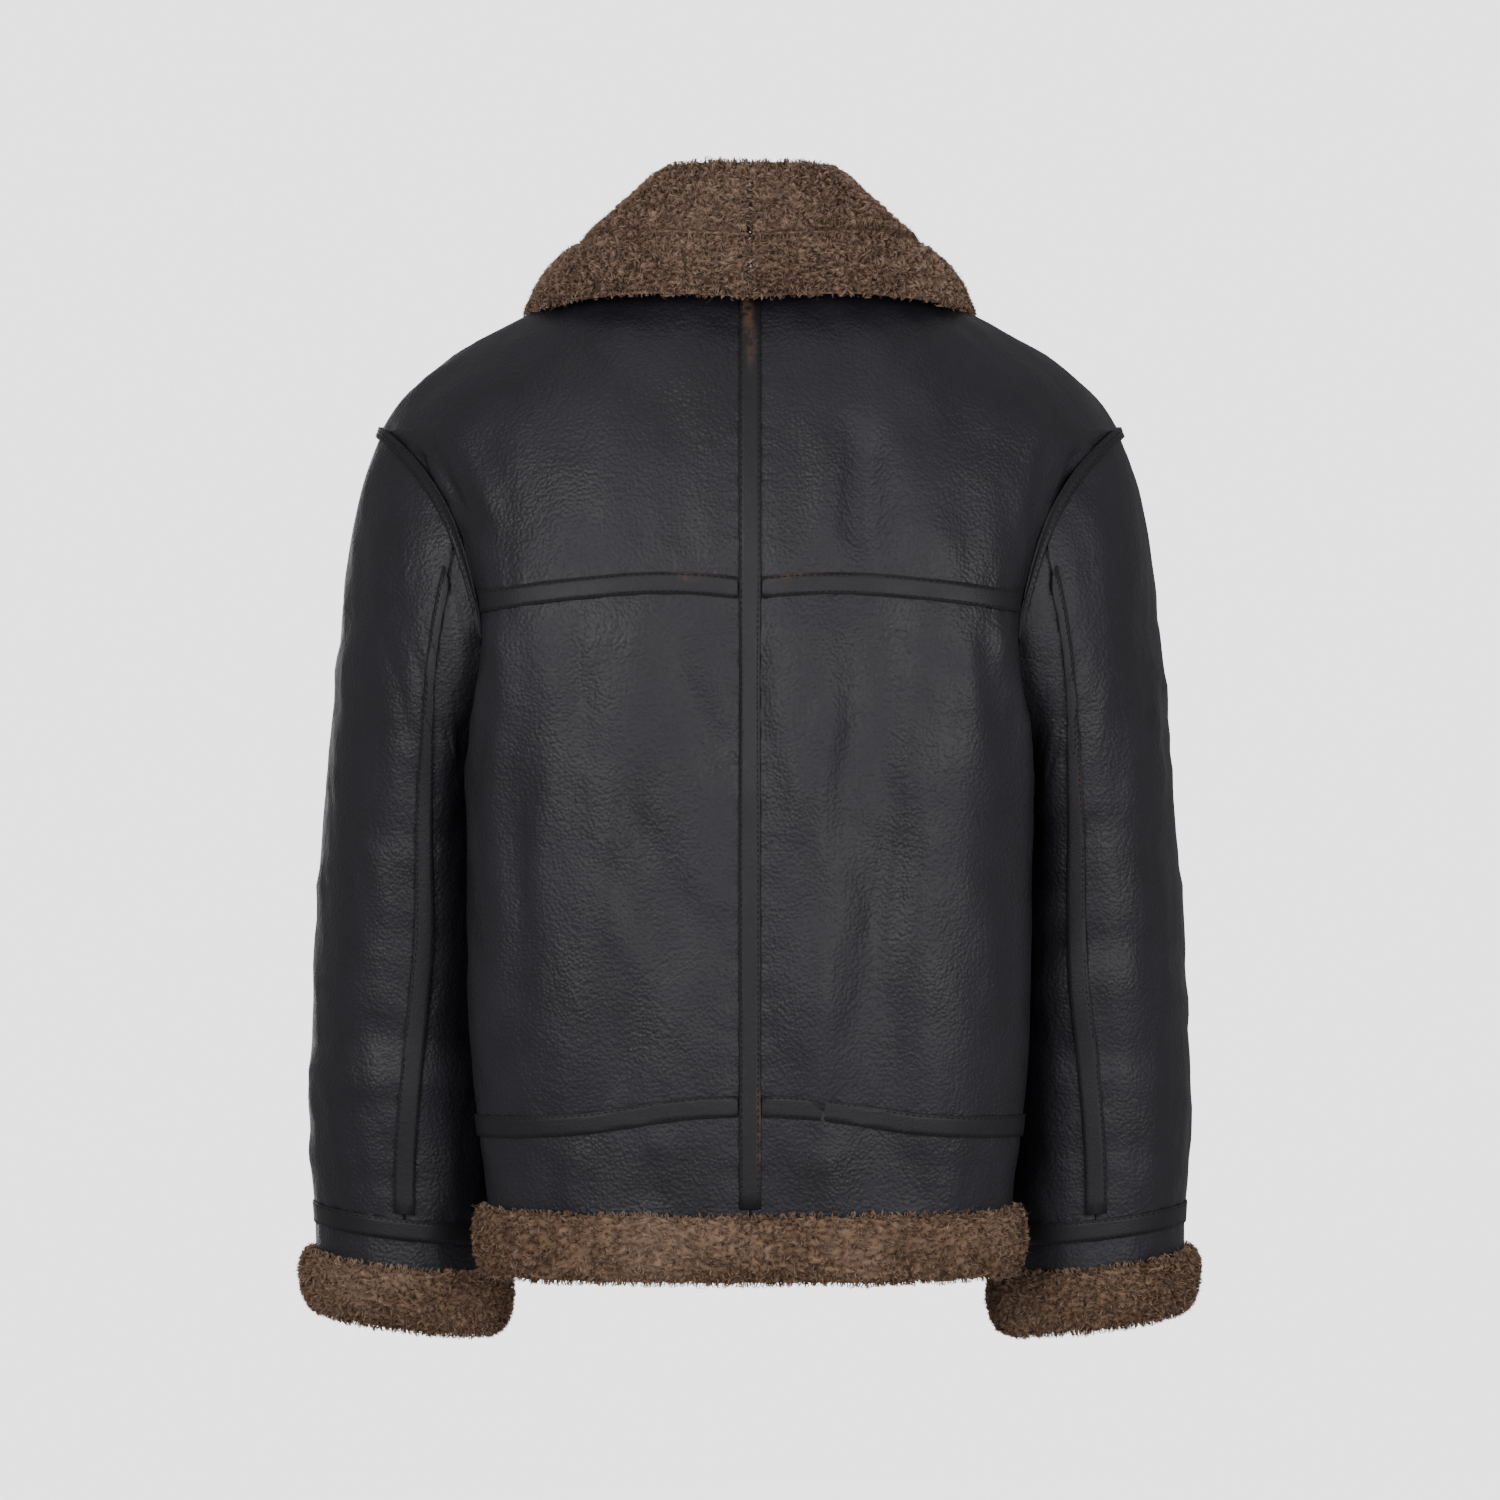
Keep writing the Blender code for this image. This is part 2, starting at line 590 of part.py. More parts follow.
def sleeve_skin(side, part, rows):
    """The skin of the top or the under half of a sleeve."""
    back, front = ARM_STOPS[:], [1 - s for s in ARM_STOPS]
    if part == "under":
        stops = list(back[BACK_SLEEVE_STOP:]) + list(front[FRONT_SLEEVE_STOP:12])[::-1]
    else:
        stops = [s - 1 for s in front[FRONT_SLEEVE_STOP::-1]][::1]
        stops = sorted(stops)[:-1] + list(back[: BACK_SLEEVE_STOP + 1])
    stops = np.array(sorted(stops))
    seams = through(SLEEVE[:, 0], SLEEVE[:, 9:11], rows)
    start, end = (seams[:, 0], seams[:, 1]) if part == "under" else (seams[:, 1] - 1, seams[:, 0])
    even = np.linspace(0, 1, len(stops))[None, :]
    held = ((stops - stops[0]) / (stops[-1] - stops[0]))[None, :]
    loose = smooth(0.0, 0.3, rows)[:, None]
    share = held + (even - held) * loose
    around = start[:, None] + share * (end - start)[:, None]
    along = np.broadcast_to(rows[:, None], around.shape)
    return Skin(sleeve_point(side, around, along), -side)


def strip_section(first, second, lift=STRIP_LIFT):
    """One section of a sewn strip, from the seam point and the strip's edge on each side of it.

    Each side is (seam point, direction, edge point, direction).
    """
    (point, normal, edge_a, normal_a), (_, other, edge_b, normal_b) = first, second
    upright = unit(normal + other + 0.7 * (unit(edge_a - point) + unit(edge_b - point)))
    high = lift + STRIP_THICK
    return [
        edge_a + normal_a * lift, edge_a + normal_a * high, point + upright * high,
        edge_b + normal_b * high, edge_b + normal_b * lift, point + upright * lift,
    ]


def side_of(skin, row, column, row_step, column_step):
    """A seam point of a skin and the point half a strip further in along its grid, with directions."""
    point, normal = skin.points[row, column], skin.normals[row, column]
    rows, columns = skin.points.shape[:2]
    row, column = row % rows, column % columns
    left = STRIP_HALF
    while True:
        after = skin.points[row + row_step, column + column_step]
        gap = np.linalg.norm(after - skin.points[row, column])
        if gap >= left:
            share = left / gap
            here, there = skin.points[row, column], after
            turn = skin.normals[row + row_step, column + column_step]
            edge_normal = unit(skin.normals[row, column] * (1 - share) + turn * share)
            return point, normal, here + (there - here) * share, edge_normal
        left -= gap
        row, column = row + row_step, column + column_step


def up_seam(first, second, column, step, rows):
    """Sections over an upright seam between two skins with the same rows."""
    return [
        strip_section(side_of(first, r, column, 0, step), side_of(second, r, column, 0, step))
        for r in rows
    ]


def cross_seam(lower, upper, columns):
    """Sections over a cross seam, where one skin's top row is the other's bottom row."""
    return [
        strip_section(side_of(lower, -1, c, -1, 0), side_of(upper, 0, c, 1, 0)) for c in columns
    ]


def armhole_sections(panels, word):
    """Sections over the armhole seam, from behind over the shoulder to the front."""
    back_high, back_low = panels[f"back_upper_{word}"], panels[f"back_middle_{word}"]
    front = panels[f"front_{word}"]
    top, under = panels[f"sleeve_top_{word}"], panels[f"sleeve_under_{word}"]
    base = len(SIDE_ROWS) - 1
    sections = []
    for stop in range(STRIP_LAST_STOP, 0, -1):
        if stop > YOKE_STOP:
            row = base + 12 - stop
            body = side_of(back_low, row, -1, 0, -1)
        else:
            row = YOKE_STOP - stop
            body = side_of(back_high, row, -1, 0, -1)
        if stop >= BACK_SLEEVE_STOP:
            sleeve = side_of(under, 0, stop - BACK_SLEEVE_STOP, 1, 0)
        else:
            sleeve = side_of(top, 0, FRONT_SLEEVE_STOP + stop, 1, 0)
        sections.append(strip_section(body, sleeve, TIP_LIFTS.get(stop, STRIP_LIFT)))
    for stop in range(0, STRIP_LAST_STOP + 1):
        row = len(LOWER_ROWS) - 1 + base + 12 - stop
        body = side_of(front, row, -1, 0, -1)
        if stop <= FRONT_SLEEVE_STOP:
            sleeve = side_of(top, 0, FRONT_SLEEVE_STOP - stop, 1, 0)
        else:
            column = len(ARM_STOPS) - 1 - BACK_SLEEVE_STOP + 12 - stop
            sleeve = side_of(under, 0, column, 1, 0)
        sections.append(strip_section(body, sleeve, TIP_LIFTS.get(stop, STRIP_LIFT)))
    return sections


def rounded_edge(base_low, base_high, normals, height, drop, rest):
    """Sections of a wool band turned over a panel's end.

    base_low is the panel's end and base_high a row above it. height is how far the band covers
    the panel and drop how far it hangs below its end. rest is how far off the panel it lies.
    """
    up = unit(base_high - base_low)
    sections = []
    for out, above, below in EDGE_ROLL:
        rise = above * height - below * drop
        out = max(out, rest) if 0 <= out < 2 else out
        sections.append(base_low + up * rise + normals * out)
    return np.stack(sections, axis=1)


def pulled_sections(sections):
    """Sections with the first and last drawn in by the seam allowance."""
    sections = sections.copy()
    sections[0] += SEAM * unit(sections[1] - sections[0])
    sections[-1] += SEAM * unit(sections[-2] - sections[-1])
    return sections


def hem_ring(panels):
    """The hem's rows and directions, as pieces: across the back, and each front."""
    pieces = {}
    left, right = panels["back_lower_left"], panels["back_lower_right"]
    pieces["back"] = [
        np.concatenate([right.points[row][::-1], left.points[row][1:]]) for row in (0, 1)
    ] + [np.concatenate([right.normals[0][::-1], left.normals[0][1:]])]
    for _, word in SIDES:
        skin = panels[f"front_{word}"]
        pieces[f"front_{word}"] = [skin.points[0], skin.points[1], skin.normals[0]]
    return pieces


def cuff_ring(skins, row):
    """A row of points and directions round the wrist, from its two skins."""
    under, top = skins
    points = np.concatenate([under.points[row], top.points[row][1:-1]])
    normals = np.concatenate([under.normals[row], top.normals[row][1:-1]])
    return points, normals


def rest_on(body, skins, clear):
    """Lifts skins off the body, so that their undersides keep at least the given distance."""
    points, faces = [], []
    for skin in body:
        rows, columns = skin.points.shape[:2]
        base = len(points)
        points.extend(Vector(p) for p in skin.points.reshape(-1, 3))
        for r in range(rows - 1):
            for c in range(columns - 1):
                at = base + r * columns + c
                faces.append((at, at + 1, at + columns + 1, at + columns))
    tree = BVHTree.FromPolygons(points, faces)
    middle = Vector((0, 0, -60))
    for skin in skins:
        for index in np.ndindex(skin.points.shape[:2]):
            for _ in range(3):
                under = Vector(skin.points[index] - skin.thick[index] * skin.normals[index])
                found, normal, _, _ = tree.find_nearest(under)
                if normal @ (found - middle) < 0:
                    normal = -normal
                short = clear - (under - found) @ normal
                if short > 0:
                    skin.points[index] += short * np.array(normal)


def collar_skins(body):
    """The skins of the stand, the fall and the edge strip of each half of the collar."""
    skins = {}
    rows = {
        "stand": np.array([0, 0.09, 0.18, 0.27, 0.36, 0.40, COLLAR_CREST]),
        "fall": np.array([COLLAR_CREST, 0.485, 0.53, 0.60, 0.67, COLLAR_SEAM]),
        "edge": np.array([COLLAR_SEAM, 0.80, 0.86, 0.92, 0.965, 1.0]),
    }
    columns = np.linspace(0, 1, 13)
    for side, word in SIDES:
        for name, along in rows.items():
            across, down = np.meshgrid(side * columns, along)
            deep = WOOL_COLLAR * (1 - 0.4 * np.exp(-(((down - COLLAR_CREST) / 0.08) ** 2)))
            deep = deep * (1 - 0.35 * smooth(0.9, 1.0, down))
            skins[f"collar_{name}_{word}"] = Skin(collar_point(across, down), side, deep[..., None])
    join_normals(skins.values())
    rest_on(body, [skin for name, skin in skins.items() if "stand" not in name], COLLAR_CLEAR)
    return skins


def add_boolean(target, cutter, operation):
    modifier = target.modifiers.new(operation.lower(), "BOOLEAN")
    modifier.operation = operation
    modifier.solver = "EXACT"
    modifier.object = cutter


def framed(name, outer, inner, near, far, material, collection):
    """A plate with a window: outer and inner outlines with the same number of points.

    near and far are functions that place an outline point on the plate's two faces.
    """
    loops = np.stack([
        np.array([near(p) for p in outer]), np.array([far(p) for p in outer]),
        np.array([far(p) for p in inner]), np.array([near(p) for p in inner]),
    ], axis=1)
    return swept(name, loops, material, collection, ring=True)


def zip_line(front):
    """The front edge of the left panel, moved to the middle plane, from the hem up."""
    line = front.points[:, 0].copy()
    line[:, 0] = 0
    ahead = unit(np.gradient(line, axis=0))
    out = np.stack([0 * ahead[:, 0], -ahead[:, 2], ahead[:, 1]], -1)
    return line, out


def bar_along(line, out, x_range, out_range):
    """Sections of a bar beside the zip's line, between two x places and two places off it."""
    corners = ((0, 0), (0, 1), (1, 1), (1, 0))
    loops = []
    for point, away in zip(line, out):
        loops.append([point + np.array([x_range[i], 0, 0]) + away * out_range[j] for i, j in corners])
    return np.array(loops)


def add_zip(panels, finish, jacket, cutters):
    """Two tapes and rows of teeth, and the slider with its hanging pull."""
    line, out = zip_line(panels["front_left"])
    first, last = line[0] - np.array([0, 0, 6.0]), line[-1]
    rows = list(range(1, len(line) - 1, 2))
    path = np.concatenate([[first], line[rows], [last]])
    away = np.concatenate([[out[0]], out[rows], [out[-1]]])
    for side, word in SIDES:
        tape = bar_along(path, away, (0.2 * side, TAPE_EDGE * side), (-4.7, -3.5))
        swept(f"zip_tape_{word}", tape, finish["zip_tape"], jacket)
        teeth = bar_along(path, away, (0.15 * side, TEETH_WIDE * side), (-3.2, -1.2))
        swept(f"zip_teeth_{word}", teeth, finish["brass"], jacket)

    place = np.interp(-SLIDER_Z, -line[::-1, 2], np.arange(len(line))[::-1])
    low = int(place)
    here = line[low] + (line[low + 1] - line[low]) * (place - low)
    down = unit(line[low - 1] - line[low + 1])
    normal = unit(out[low])

    def at(x, off, along):
        return here + np.array([x, 0, 0]) + normal * off + down * along

    base = np.array([
        [at(x, off, along) for x, off in ((-5, -0.1), (5, -0.1), (4.4, 2.05), (-4.4, 2.05))]
        for along in (-6, 7)
    ])
    slider = swept("zip_slider", base, finish["brass"], jacket)
    bridge = framed(
        "slider_bridge", round_rectangle(5.2, 9.0, 1.2), round_rectangle(2.6, 5.0, 0.4),
        lambda p: at(-1.7, 3.85 + p[0], p[1]), lambda p: at(1.7, 3.85 + p[0], p[1]),
        finish["brass"], cutters,
    )
    bridge.hide_render = True
    bridge.display_type = "WIRE"
    add_boolean(slider, bridge, "UNION")

    outer = round_rectangle(7.6, PULL_LONG, 2.2)
    inner = round_rectangle(4.6, 4.6, 0.6)
    middle = 1.4 - 0.7 + PULL_LONG / 2
    window = 1.4 + 0.7 + 2.3
    framed(
        "zip_pull", [(x, y + middle) for x, y in outer], [(x, y + window) for x, y in inner],
        lambda p: at(p[0], 3.15, p[1]), lambda p: at(p[0], 4.55, p[1]), finish["brass"], jacket,
    )
    return at(0, 3.85, 1.4)


def add_adjuster(lower, front, word, finish, jacket):
    """A strap over the side seam near the hem, with a frame buckle at its front end."""
    stations = [(lower, -4, 1.2), (lower, -3, 1.5), (lower, -2, 3.0), (lower, -1, 3.4)]
    stations += [(front, -2, 3.0), (front, -3, 1.5), (front, -4, 1.2)]
    loops = []
    for skin, column, lift in stations:
        low, high = skin.points[2, column], skin.points[3, column]
        low_out, high_out = skin.normals[2, column], skin.normals[3, column]
        loops.append([
            low + low_out * lift, low + low_out * (lift + STRAP_THICK),
            high + high_out * (lift + STRAP_THICK), high + high_out * lift,
        ])
    loops = np.array(loops)
    swept(f"adjuster_strap_{word}", loops, finish["strip"], jacket)
    face = loops[-2:, 1:3].reshape(-1, 3)
    middle = face.mean(0)
    along = unit((face[2] + face[3]) - (face[0] + face[1]))
    normal = unit(np.cross(along, unit(face[1] - face[0])))
    if normal[0] * middle[0] + normal[1] * middle[1] < 0:
        normal = -normal
    upright = np.cross(normal, along)

    def at(p, off):
        return middle + along * p[0] + upright * p[1] + normal * off

    framed(
        f"adjuster_buckle_{word}", round_rectangle(15, 27, 3), round_rectangle(9.5, 20.6, 1.2),
        lambda p: at(p, 0.7), lambda p: at(p, 2.7), finish["brass"], jacket,
    )


def round_rectangle(wide, high, radius, steps=3):
    """Corner-rounded outline about its middle, counter-clockwise."""
    points = []
    for k, (sx, sy) in enumerate(((1, 1), (-1, 1), (-1, -1), (1, -1))):
        for step in range(steps):
            angle = pi / 2 * (k + step / (steps - 1))
            points.append((sx * (wide / 2 - radius) + radius * cos(angle),
                           sy * (high / 2 - radius) + radius * sin(angle)))
    return np.array(points)


def main():
    for obj in list(bpy.data.objects):
        bpy.data.objects.remove(obj, do_unlink=True)
    jacket = bpy.data.collections.new("sheepskin_jacket")
    bpy.context.scene.collection.children.link(jacket)
    cutters = bpy.data.collections.new("cutters")
    bpy.context.scene.collection.children.link(cutters)
    finish = {}
    for name, (colour, roughness, metallic) in MATERIALS.items():
        material = bpy.data.materials.new(name)
        material.use_nodes = True
        shader = material.node_tree.nodes["Principled BSDF"]
        shader.inputs["Base Color"].default_value = (*colour, 1)
        shader.inputs["Roughness"].default_value = roughness
        shader.inputs["Metallic"].default_value = metallic
        finish[name] = material

    leather, strip, wool = finish["leather"], finish["strip"], finish["wool"]
    body, sleeves = [], []
    panels, wrists = {}, {}
    for side, word in SIDES:
        for name, skin in back_skins(side).items():
            panels[f"back_{name}_{word}"] = skin
            body.append(skin)
        panels[f"front_{word}"] = front_skin(side)
        body.append(panels[f"front_{word}"])
        for part in ("top", "under"):
            panels[f"sleeve_{part}_{word}"] = sleeve_skin(side, part, SLEEVE_ROWS)
            sleeves.append(panels[f"sleeve_{part}_{word}"])
        wrists[word] = [sleeve_skin(side, part, WRIST_ROWS) for part in ("under", "top")]
        sleeves.extend(wrists[word])
    join_normals(body)
    join_normals(sleeves)
    blend_normals(body, sleeves)
    ends = ("start", "end", "bottom", "top")
    for name, skin in panels.items():
        extra = ARMHOLE_EASE if "sleeve" in name else 0.0
        wall(name, pulled_in(skin.points, ends, extra), pulled_in(skin.under(), ends, extra),
             leather, jacket)

    left, right = (
        [panels[f"back_{name}_{word}"] for name in ("lower", "middle", "upper")] for _, word in SIDES
    )
    sections = up_seam(left[0], right[0], 0, 1, range(1, len(left[0].points) - 1))
    sections += up_seam(left[1], right[1], 0, 1, range(len(left[1].points) - 1))
    sections += up_seam(left[2], right[2], 0, 1, range(len(left[2].points)))
    swept("strip_centre_back", np.array(sections), strip, jacket)
    inner_columns = range(1, len(BACK_SHARES) - 2)
    for side, word in SIDES:
        lower, middle, upper = (panels[f"back_{name}_{word}"] for name in ("lower", "middle", "upper"))
        front = panels[f"front_{word}"]
        yoke = cross_seam(middle, upper, inner_columns)
        swept(f"strip_yoke_{word}", np.array(yoke), strip, jacket)
        waist = cross_seam(lower, middle, range(1, len(BACK_SHARES) - 1))
        swept(f"strip_waist_{word}", np.array(waist), strip, jacket)
        swept(f"strip_armhole_{word}", np.array(armhole_sections(panels, word)), strip, jacket)
        top, under = panels[f"sleeve_top_{word}"], panels[f"sleeve_under_{word}"]
        seam = [
            strip_section(side_of(top, r, -1, 0, -1), side_of(under, r, 0, 0, 1), SLEEVE_STRIP_LIFT)
            for r in range(1, len(SLEEVE_ROWS) - 1)
        ]
        swept(f"strip_sleeve_{word}", np.array(seam), strip, jacket)
        side_seam = [
            strip_section(side_of(lower, r, -1, 0, -1), side_of(front, r, -1, 0, -1))
            for r in range(1, len(LOWER_ROWS) - 1)
        ] + [
            strip_section(side_of(middle, r, -1, 0, -1),
                          side_of(front, r + len(LOWER_ROWS) - 1, -1, 0, -1))
            for r in range(len(SIDE_ROWS) - 1)
        ]
        swept(f"strip_side_{word}", np.array(side_seam), strip, jacket)

        rows = [cuff_ring(wrists[word], row) for row in range(len(WRIST_ROWS))]
        outer = np.stack([points for points, _ in rows])
        inner = np.stack([points - WALL * normals for points, normals in rows])
        wall(f"cuff_panel_{word}", pulled_in(outer, ("bottom", "top")),
             pulled_in(inner, ("bottom", "top")), leather, jacket, ring=True)
        wrist = []
        for skin, below, columns in (
            (under, wrists[word][0], range(len(outer[0]) // 2 + 1)),
            (top, wrists[word][1], range(1, len(outer[0]) // 2)),
        ):
            wrist += [
                strip_section(side_of(skin, -1, c, -1, 0), side_of(below, 0, c, 1, 0)) for c in columns
            ]
        swept(f"strip_cuff_{word}", np.array(wrist), strip, jacket, ring=True)
        roll = rounded_edge(outer[-1], outer[-2], rows[-1][1], CUFF_HEIGHT, CUFF_DROP, CUFF_REST)
        swept(f"cuff_roll_{word}", roll, wool, jacket, ring=True)

    for name, (end, near, normals) in hem_ring(panels).items():
        band = rounded_edge(end, near, normals, HEM_HEIGHT, HEM_DROP, HEM_REST)
        swept(f"hem_band_{name}", pulled_sections(band), wool, jacket)

    add_zip(panels, finish, jacket, cutters)
    for _, word in SIDES:
        add_adjuster(panels[f"back_lower_{word}"], panels[f"front_{word}"], word, finish, jacket)
    for name, skin in collar_skins(body).items():
        wall(name, pulled_in(skin.points, ends), pulled_in(skin.under(), ends), wool, jacket)


if __name__ == "__main__":
    main()
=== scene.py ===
"""Looks of the sheepskin flying jacket: black pebbled leather, brown wool collar, cuffs and hem.

Each leather panel, strip and wool piece is a smooth thin shell on its solid's form. Tables of creases
move the panels, the wool carries a pile of small blades, the strips carry stitches, and the zip has
teeth.
"""

import logging
from collections.abc import Callable
from dataclasses import dataclass, field
from enum import Enum
from math import radians

import bmesh
import bpy
import numpy as np
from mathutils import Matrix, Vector
from mathutils.bvhtree import BVHTree
from mathutils.kdtree import KDTree


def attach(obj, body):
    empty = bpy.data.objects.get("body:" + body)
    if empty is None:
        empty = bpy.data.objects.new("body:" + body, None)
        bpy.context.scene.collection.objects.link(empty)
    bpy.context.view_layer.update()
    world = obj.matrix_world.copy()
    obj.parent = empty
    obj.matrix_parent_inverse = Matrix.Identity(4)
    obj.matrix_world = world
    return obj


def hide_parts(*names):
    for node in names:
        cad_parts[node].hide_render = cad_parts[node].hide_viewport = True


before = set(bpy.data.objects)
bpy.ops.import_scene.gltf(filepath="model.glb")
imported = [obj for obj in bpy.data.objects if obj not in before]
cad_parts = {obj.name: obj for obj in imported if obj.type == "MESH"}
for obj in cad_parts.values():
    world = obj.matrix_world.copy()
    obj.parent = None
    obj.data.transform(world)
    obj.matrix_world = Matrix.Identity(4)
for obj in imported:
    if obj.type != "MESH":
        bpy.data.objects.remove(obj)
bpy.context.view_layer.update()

logging.basicConfig(level=logging.INFO, format="%(message)s")
LOG = logging.getLogger("jacket")

MM = 0.001

# How the solids are made ready to be divided: vertices nearer than the first are one, and flat faces
# that bend and skew less than these angles are joined
WELD_M = 2e-5
JOIN_BEND = radians(32)
JOIN_SKEW = radians(60)
RIM_CREASE = 0.9  # how well a sharp rim keeps its line when it is divided


class Side(Enum):
    """The wearer's left and right, as signs of X."""

    LEFT = 1
    RIGHT = -1

    @property
    def word(self) -> str:
        """The side's word in piece names."""
        return self.name.lower()


class Region(Enum):
    """Which crease table a leather panel takes."""

    BACK = "back"
    FRONT = "front"
    SLEEVE = "sleeve"
    PLAIN = "plain"


def srgb(code: str) -> tuple[float, float, float, float]:
    """Turns an sRGB hex colour into linear values.

    Args:
        code: Six hex digits.

    Returns:
        Linear red, green, blue and alpha.
    """
    parts = [int(code[k : k + 2], 16) / 255 for k in (0, 2, 4)]
    linear = [c / 12.92 if c <= 0.04045 else ((c + 0.055) / 1.055) ** 2.4 for c in parts]
    return (*linear, 1.0)


@dataclass(frozen=True)
class LeatherFinish:
    """Colours and grain of a leather."""

    name: str
    colour: str
    worn: str
    rough: float
    grain_mm: float
    grain_depth_mm: float
    wear: float


@dataclass(frozen=True)
class WoolFinish:
    """Colours of a wool, from the roots of the pile to its tips; the root colour also paints the shade deep
    in the pile and between the curls.
    """

    name: str
    root: str
    body: str
    tip: str


# Black dyed sheepskin with the leather outside: near black, with pebbles that break up a soft shine
PANEL_LEATHER = LeatherFinish(
    name="Pebbled_sheepskin_leather", colour="1D1C22", worn="5E4A3C",
    rough=0.49, grain_mm=2.5, grain_depth_mm=0.45, wear=0.08,
)
# Smooth hide of the strips: flatter and duller than the panels, brown where the dye is rubbed off
STRIP_LEATHER = LeatherFinish(
    name="Smooth_strip_leather", colour="161519", worn="80604A",
    rough=0.52, grain_mm=1.5, grain_depth_mm=0.14, wear=0.10,
)
# Sheep's wool, dull and uneven: painted shade at the roots and between the curls, with pale tips that catch
# the light
COLLAR_WOOL = WoolFinish(name="Brown_collar_wool", root="3E2E26", body="967A66", tip="CAAE9A")
TRIM_WOOL = WoolFinish(name="Brown_cuff_and_hem_wool", root="3E2E26", body="90745E", tip="C0A48E")
# The same wool clipped short and in shade: an even dark brown
LINING_WOOL = WoolFinish(name="Brown_clipped_lining_wool", root="2A1C14", body="5C4536", tip="7A5F4C")

# How many spots of a noise pattern lie in a metre, from the spot's size in the photo
CLOUDS_A_METRE = 16.0  # shades of the dye, 60 mm
RUBS_A_METRE = 130.0  # rubbed spots of a strip, 8 mm
CURLS_A_METRE = 150.0  # shade of the curls, 7 mm
FADES_A_METRE = 11.0  # paler parts of the wool, 90 mm
TARNISH_A_METRE = 420.0  # dark spots of the brass, 2 mm

# Long soft folds of the back, in millimetres: where the middle line starts and ends, half its
# width, and how far it stands out (+) or sinks in (-)
BACK_CREASES = (
    (58, -215, 12, -350, 9, -1.6),
    (70, -300, 84, -560, 12, -2.2),
    (30, -240, 40, -520, 15, 1.8),
    (118, -240, 112, -420, 13, -1.8),
    (168, -250, 176, -540, 10, 2.0),
    (150, -330, 160, -500, 9, -1.8),
    (24, -470, 90, -330, 9, -1.3),
    (40, -520, 110, -400, 9, 1.2),
    (-52, -225, -44, -600, 15, 2.8),
    (-92, -225, -98, -600, 11, -3.2),
    (-54, -110, -60, -196, 13, 2.2),
    (-150, -240, -158, -500, 10, 1.8),
    (-170, -260, -172, -440, 8, -1.8),
    (-24, -230, -30, -380, 9, 1.3),
    (-72, -100, -82, -200, 12, -2.6),
    (-106, -100, -122, -190, 13, 1.8),
    (-48, -60, -58, -180, 12, 1.2),
    (60, -60, 40, -190, 16, -1.2),
    (110, -70, 92, -190, 14, 1.2),
    (228, -112, 214, -150, 5, -2.2),
    (214, -104, 196, -160, 6, -2.4),
    (200, -96, 176, -170, 7, 1.6),
    (-222, -112, -208, -160, 6, -2.0),
    (-196, -98, -178, -170, 8, 1.4),
    (60, -590, 66, -632, 10, -1.4),
    (120, -588, 126, -632, 11, 1.4),
    (-50, -588, -48, -632, 10, 1.2),
    (-110, -590, -118, -632, 11, -1.4),
)
FRONT_CREASES = (
    (60, -150, 84, -420, 12, -2.0),
    (110, -180, 104, -520, 13, 1.8),
    (140, -260, 134, -560, 10, -2.0),
    (-64, -160, -76, -480, 12, -1.8),
    (-104, -170, -112, -380, 12, 1.8),
    (-140, -240, -132, -600, 11, -2.0),
    (30, -420, 46, -620, 12, 1.6),
    (-34, -380, -40, -620, 13, -1.4),
    (190, -110, 176, -200, 8, -2.0),
    (-186, -108, -174, -190, 8, -2.0),
)
# Creases of a sleeve, in millimetres: height at its back, depth front to back where it is centred,
# half height, half width, slant, and how far it stands out (+) or sinks in (-)
SLEEVE_CREASES = {
    Side.LEFT: (
        (-232, 40, 7, 46, 0.4, -1.8), (-262, 20, 9, 60, 0.3, 1.6), (-300, 50, 7, 44, -0.3, -2.0),
        (-338, 30, 8, 56, 0.3, 1.8), (-372, 44, 7, 42, -0.4, -2.2), (-410, 10, 9, 60, 0.3, 1.8),
        (-452, 40, 7, 40, 0.3, -2.0), (-486, 20, 8, 52, -0.3, 1.8), (-520, 34, 6, 50, 0.35, -3.0),
        (-548, 26, 8, 56, -0.2, 2.4), (-574, 30, 6, 46, 0.3, -2.4), (-606, 10, 8, 50, 0.1, 1.4),
    ),
    Side.RIGHT: (
        (-240, 44, 7, 46, -0.4, -2.0), (-272, 24, 8, 56, 0.3, 1.8), (-310, 46, 7, 44, 0.3, -2.4),
        (-346, 30, 8, 50, -0.3, 1.8), (-384, 40, 7, 44, 0.4, -2.4), (-424, 14, 8, 56, -0.3, 1.8),
        (-458, 40, 6, 44, 0.3, -3.0), (-492, 24, 8, 52, 0.2, 2.4), (-528, 36, 6, 46, -0.3, -2.2),
        (-560, 20, 8, 52, 0.3, 1.6), (-600, 30, 7, 46, 0.2, -1.4),
    ),
}

# Length of the wool's pile on each piece, in millimetres
PILE_MM = {"collar": 6.5, "cuff": 6.5, "hem": 6.0}
NUB_MM = 3.7  # the least distance between the middles of two curls of wool
PARTING_MM = 3.2  # half the width of the line where the wool parts along the collar's seams

# How the leather of a panel moves off its solid, in millimetres
SWELL_MM = 1.7  # how far it bellies out away from its seams
SWELL_REACH_MM = 11.0
PUCKER_MM = 0.35  # the small puckers that the thread draws beside a seam
PUCKER_REACH_MM = 7.0
BROAD_MM = 0.45  # soft waves all over
FINE_MM = 0.18  # small waves all over
FINE_LOW_MM = 0.20  # what they gain below the yoke
BACK_GAIN = 1.3  # how much stronger the creases of the back are than their table says
SLEEVE_GAIN = 0.8

# Middle line of a sleeve, in millimetres: depths below the origin, and places across and back there
SLEEVE_DOWN = (97, 330, 700)
SLEEVE_ACROSS = (222, 240, 243)
SLEEVE_BACK = (4, -9, -28)
BODY_CORE_M = 0.08  # half the width of the body's middle line, widened into a band
BODY_TOP_Z = -0.16  # above this height, outward is away from the middle of the chest

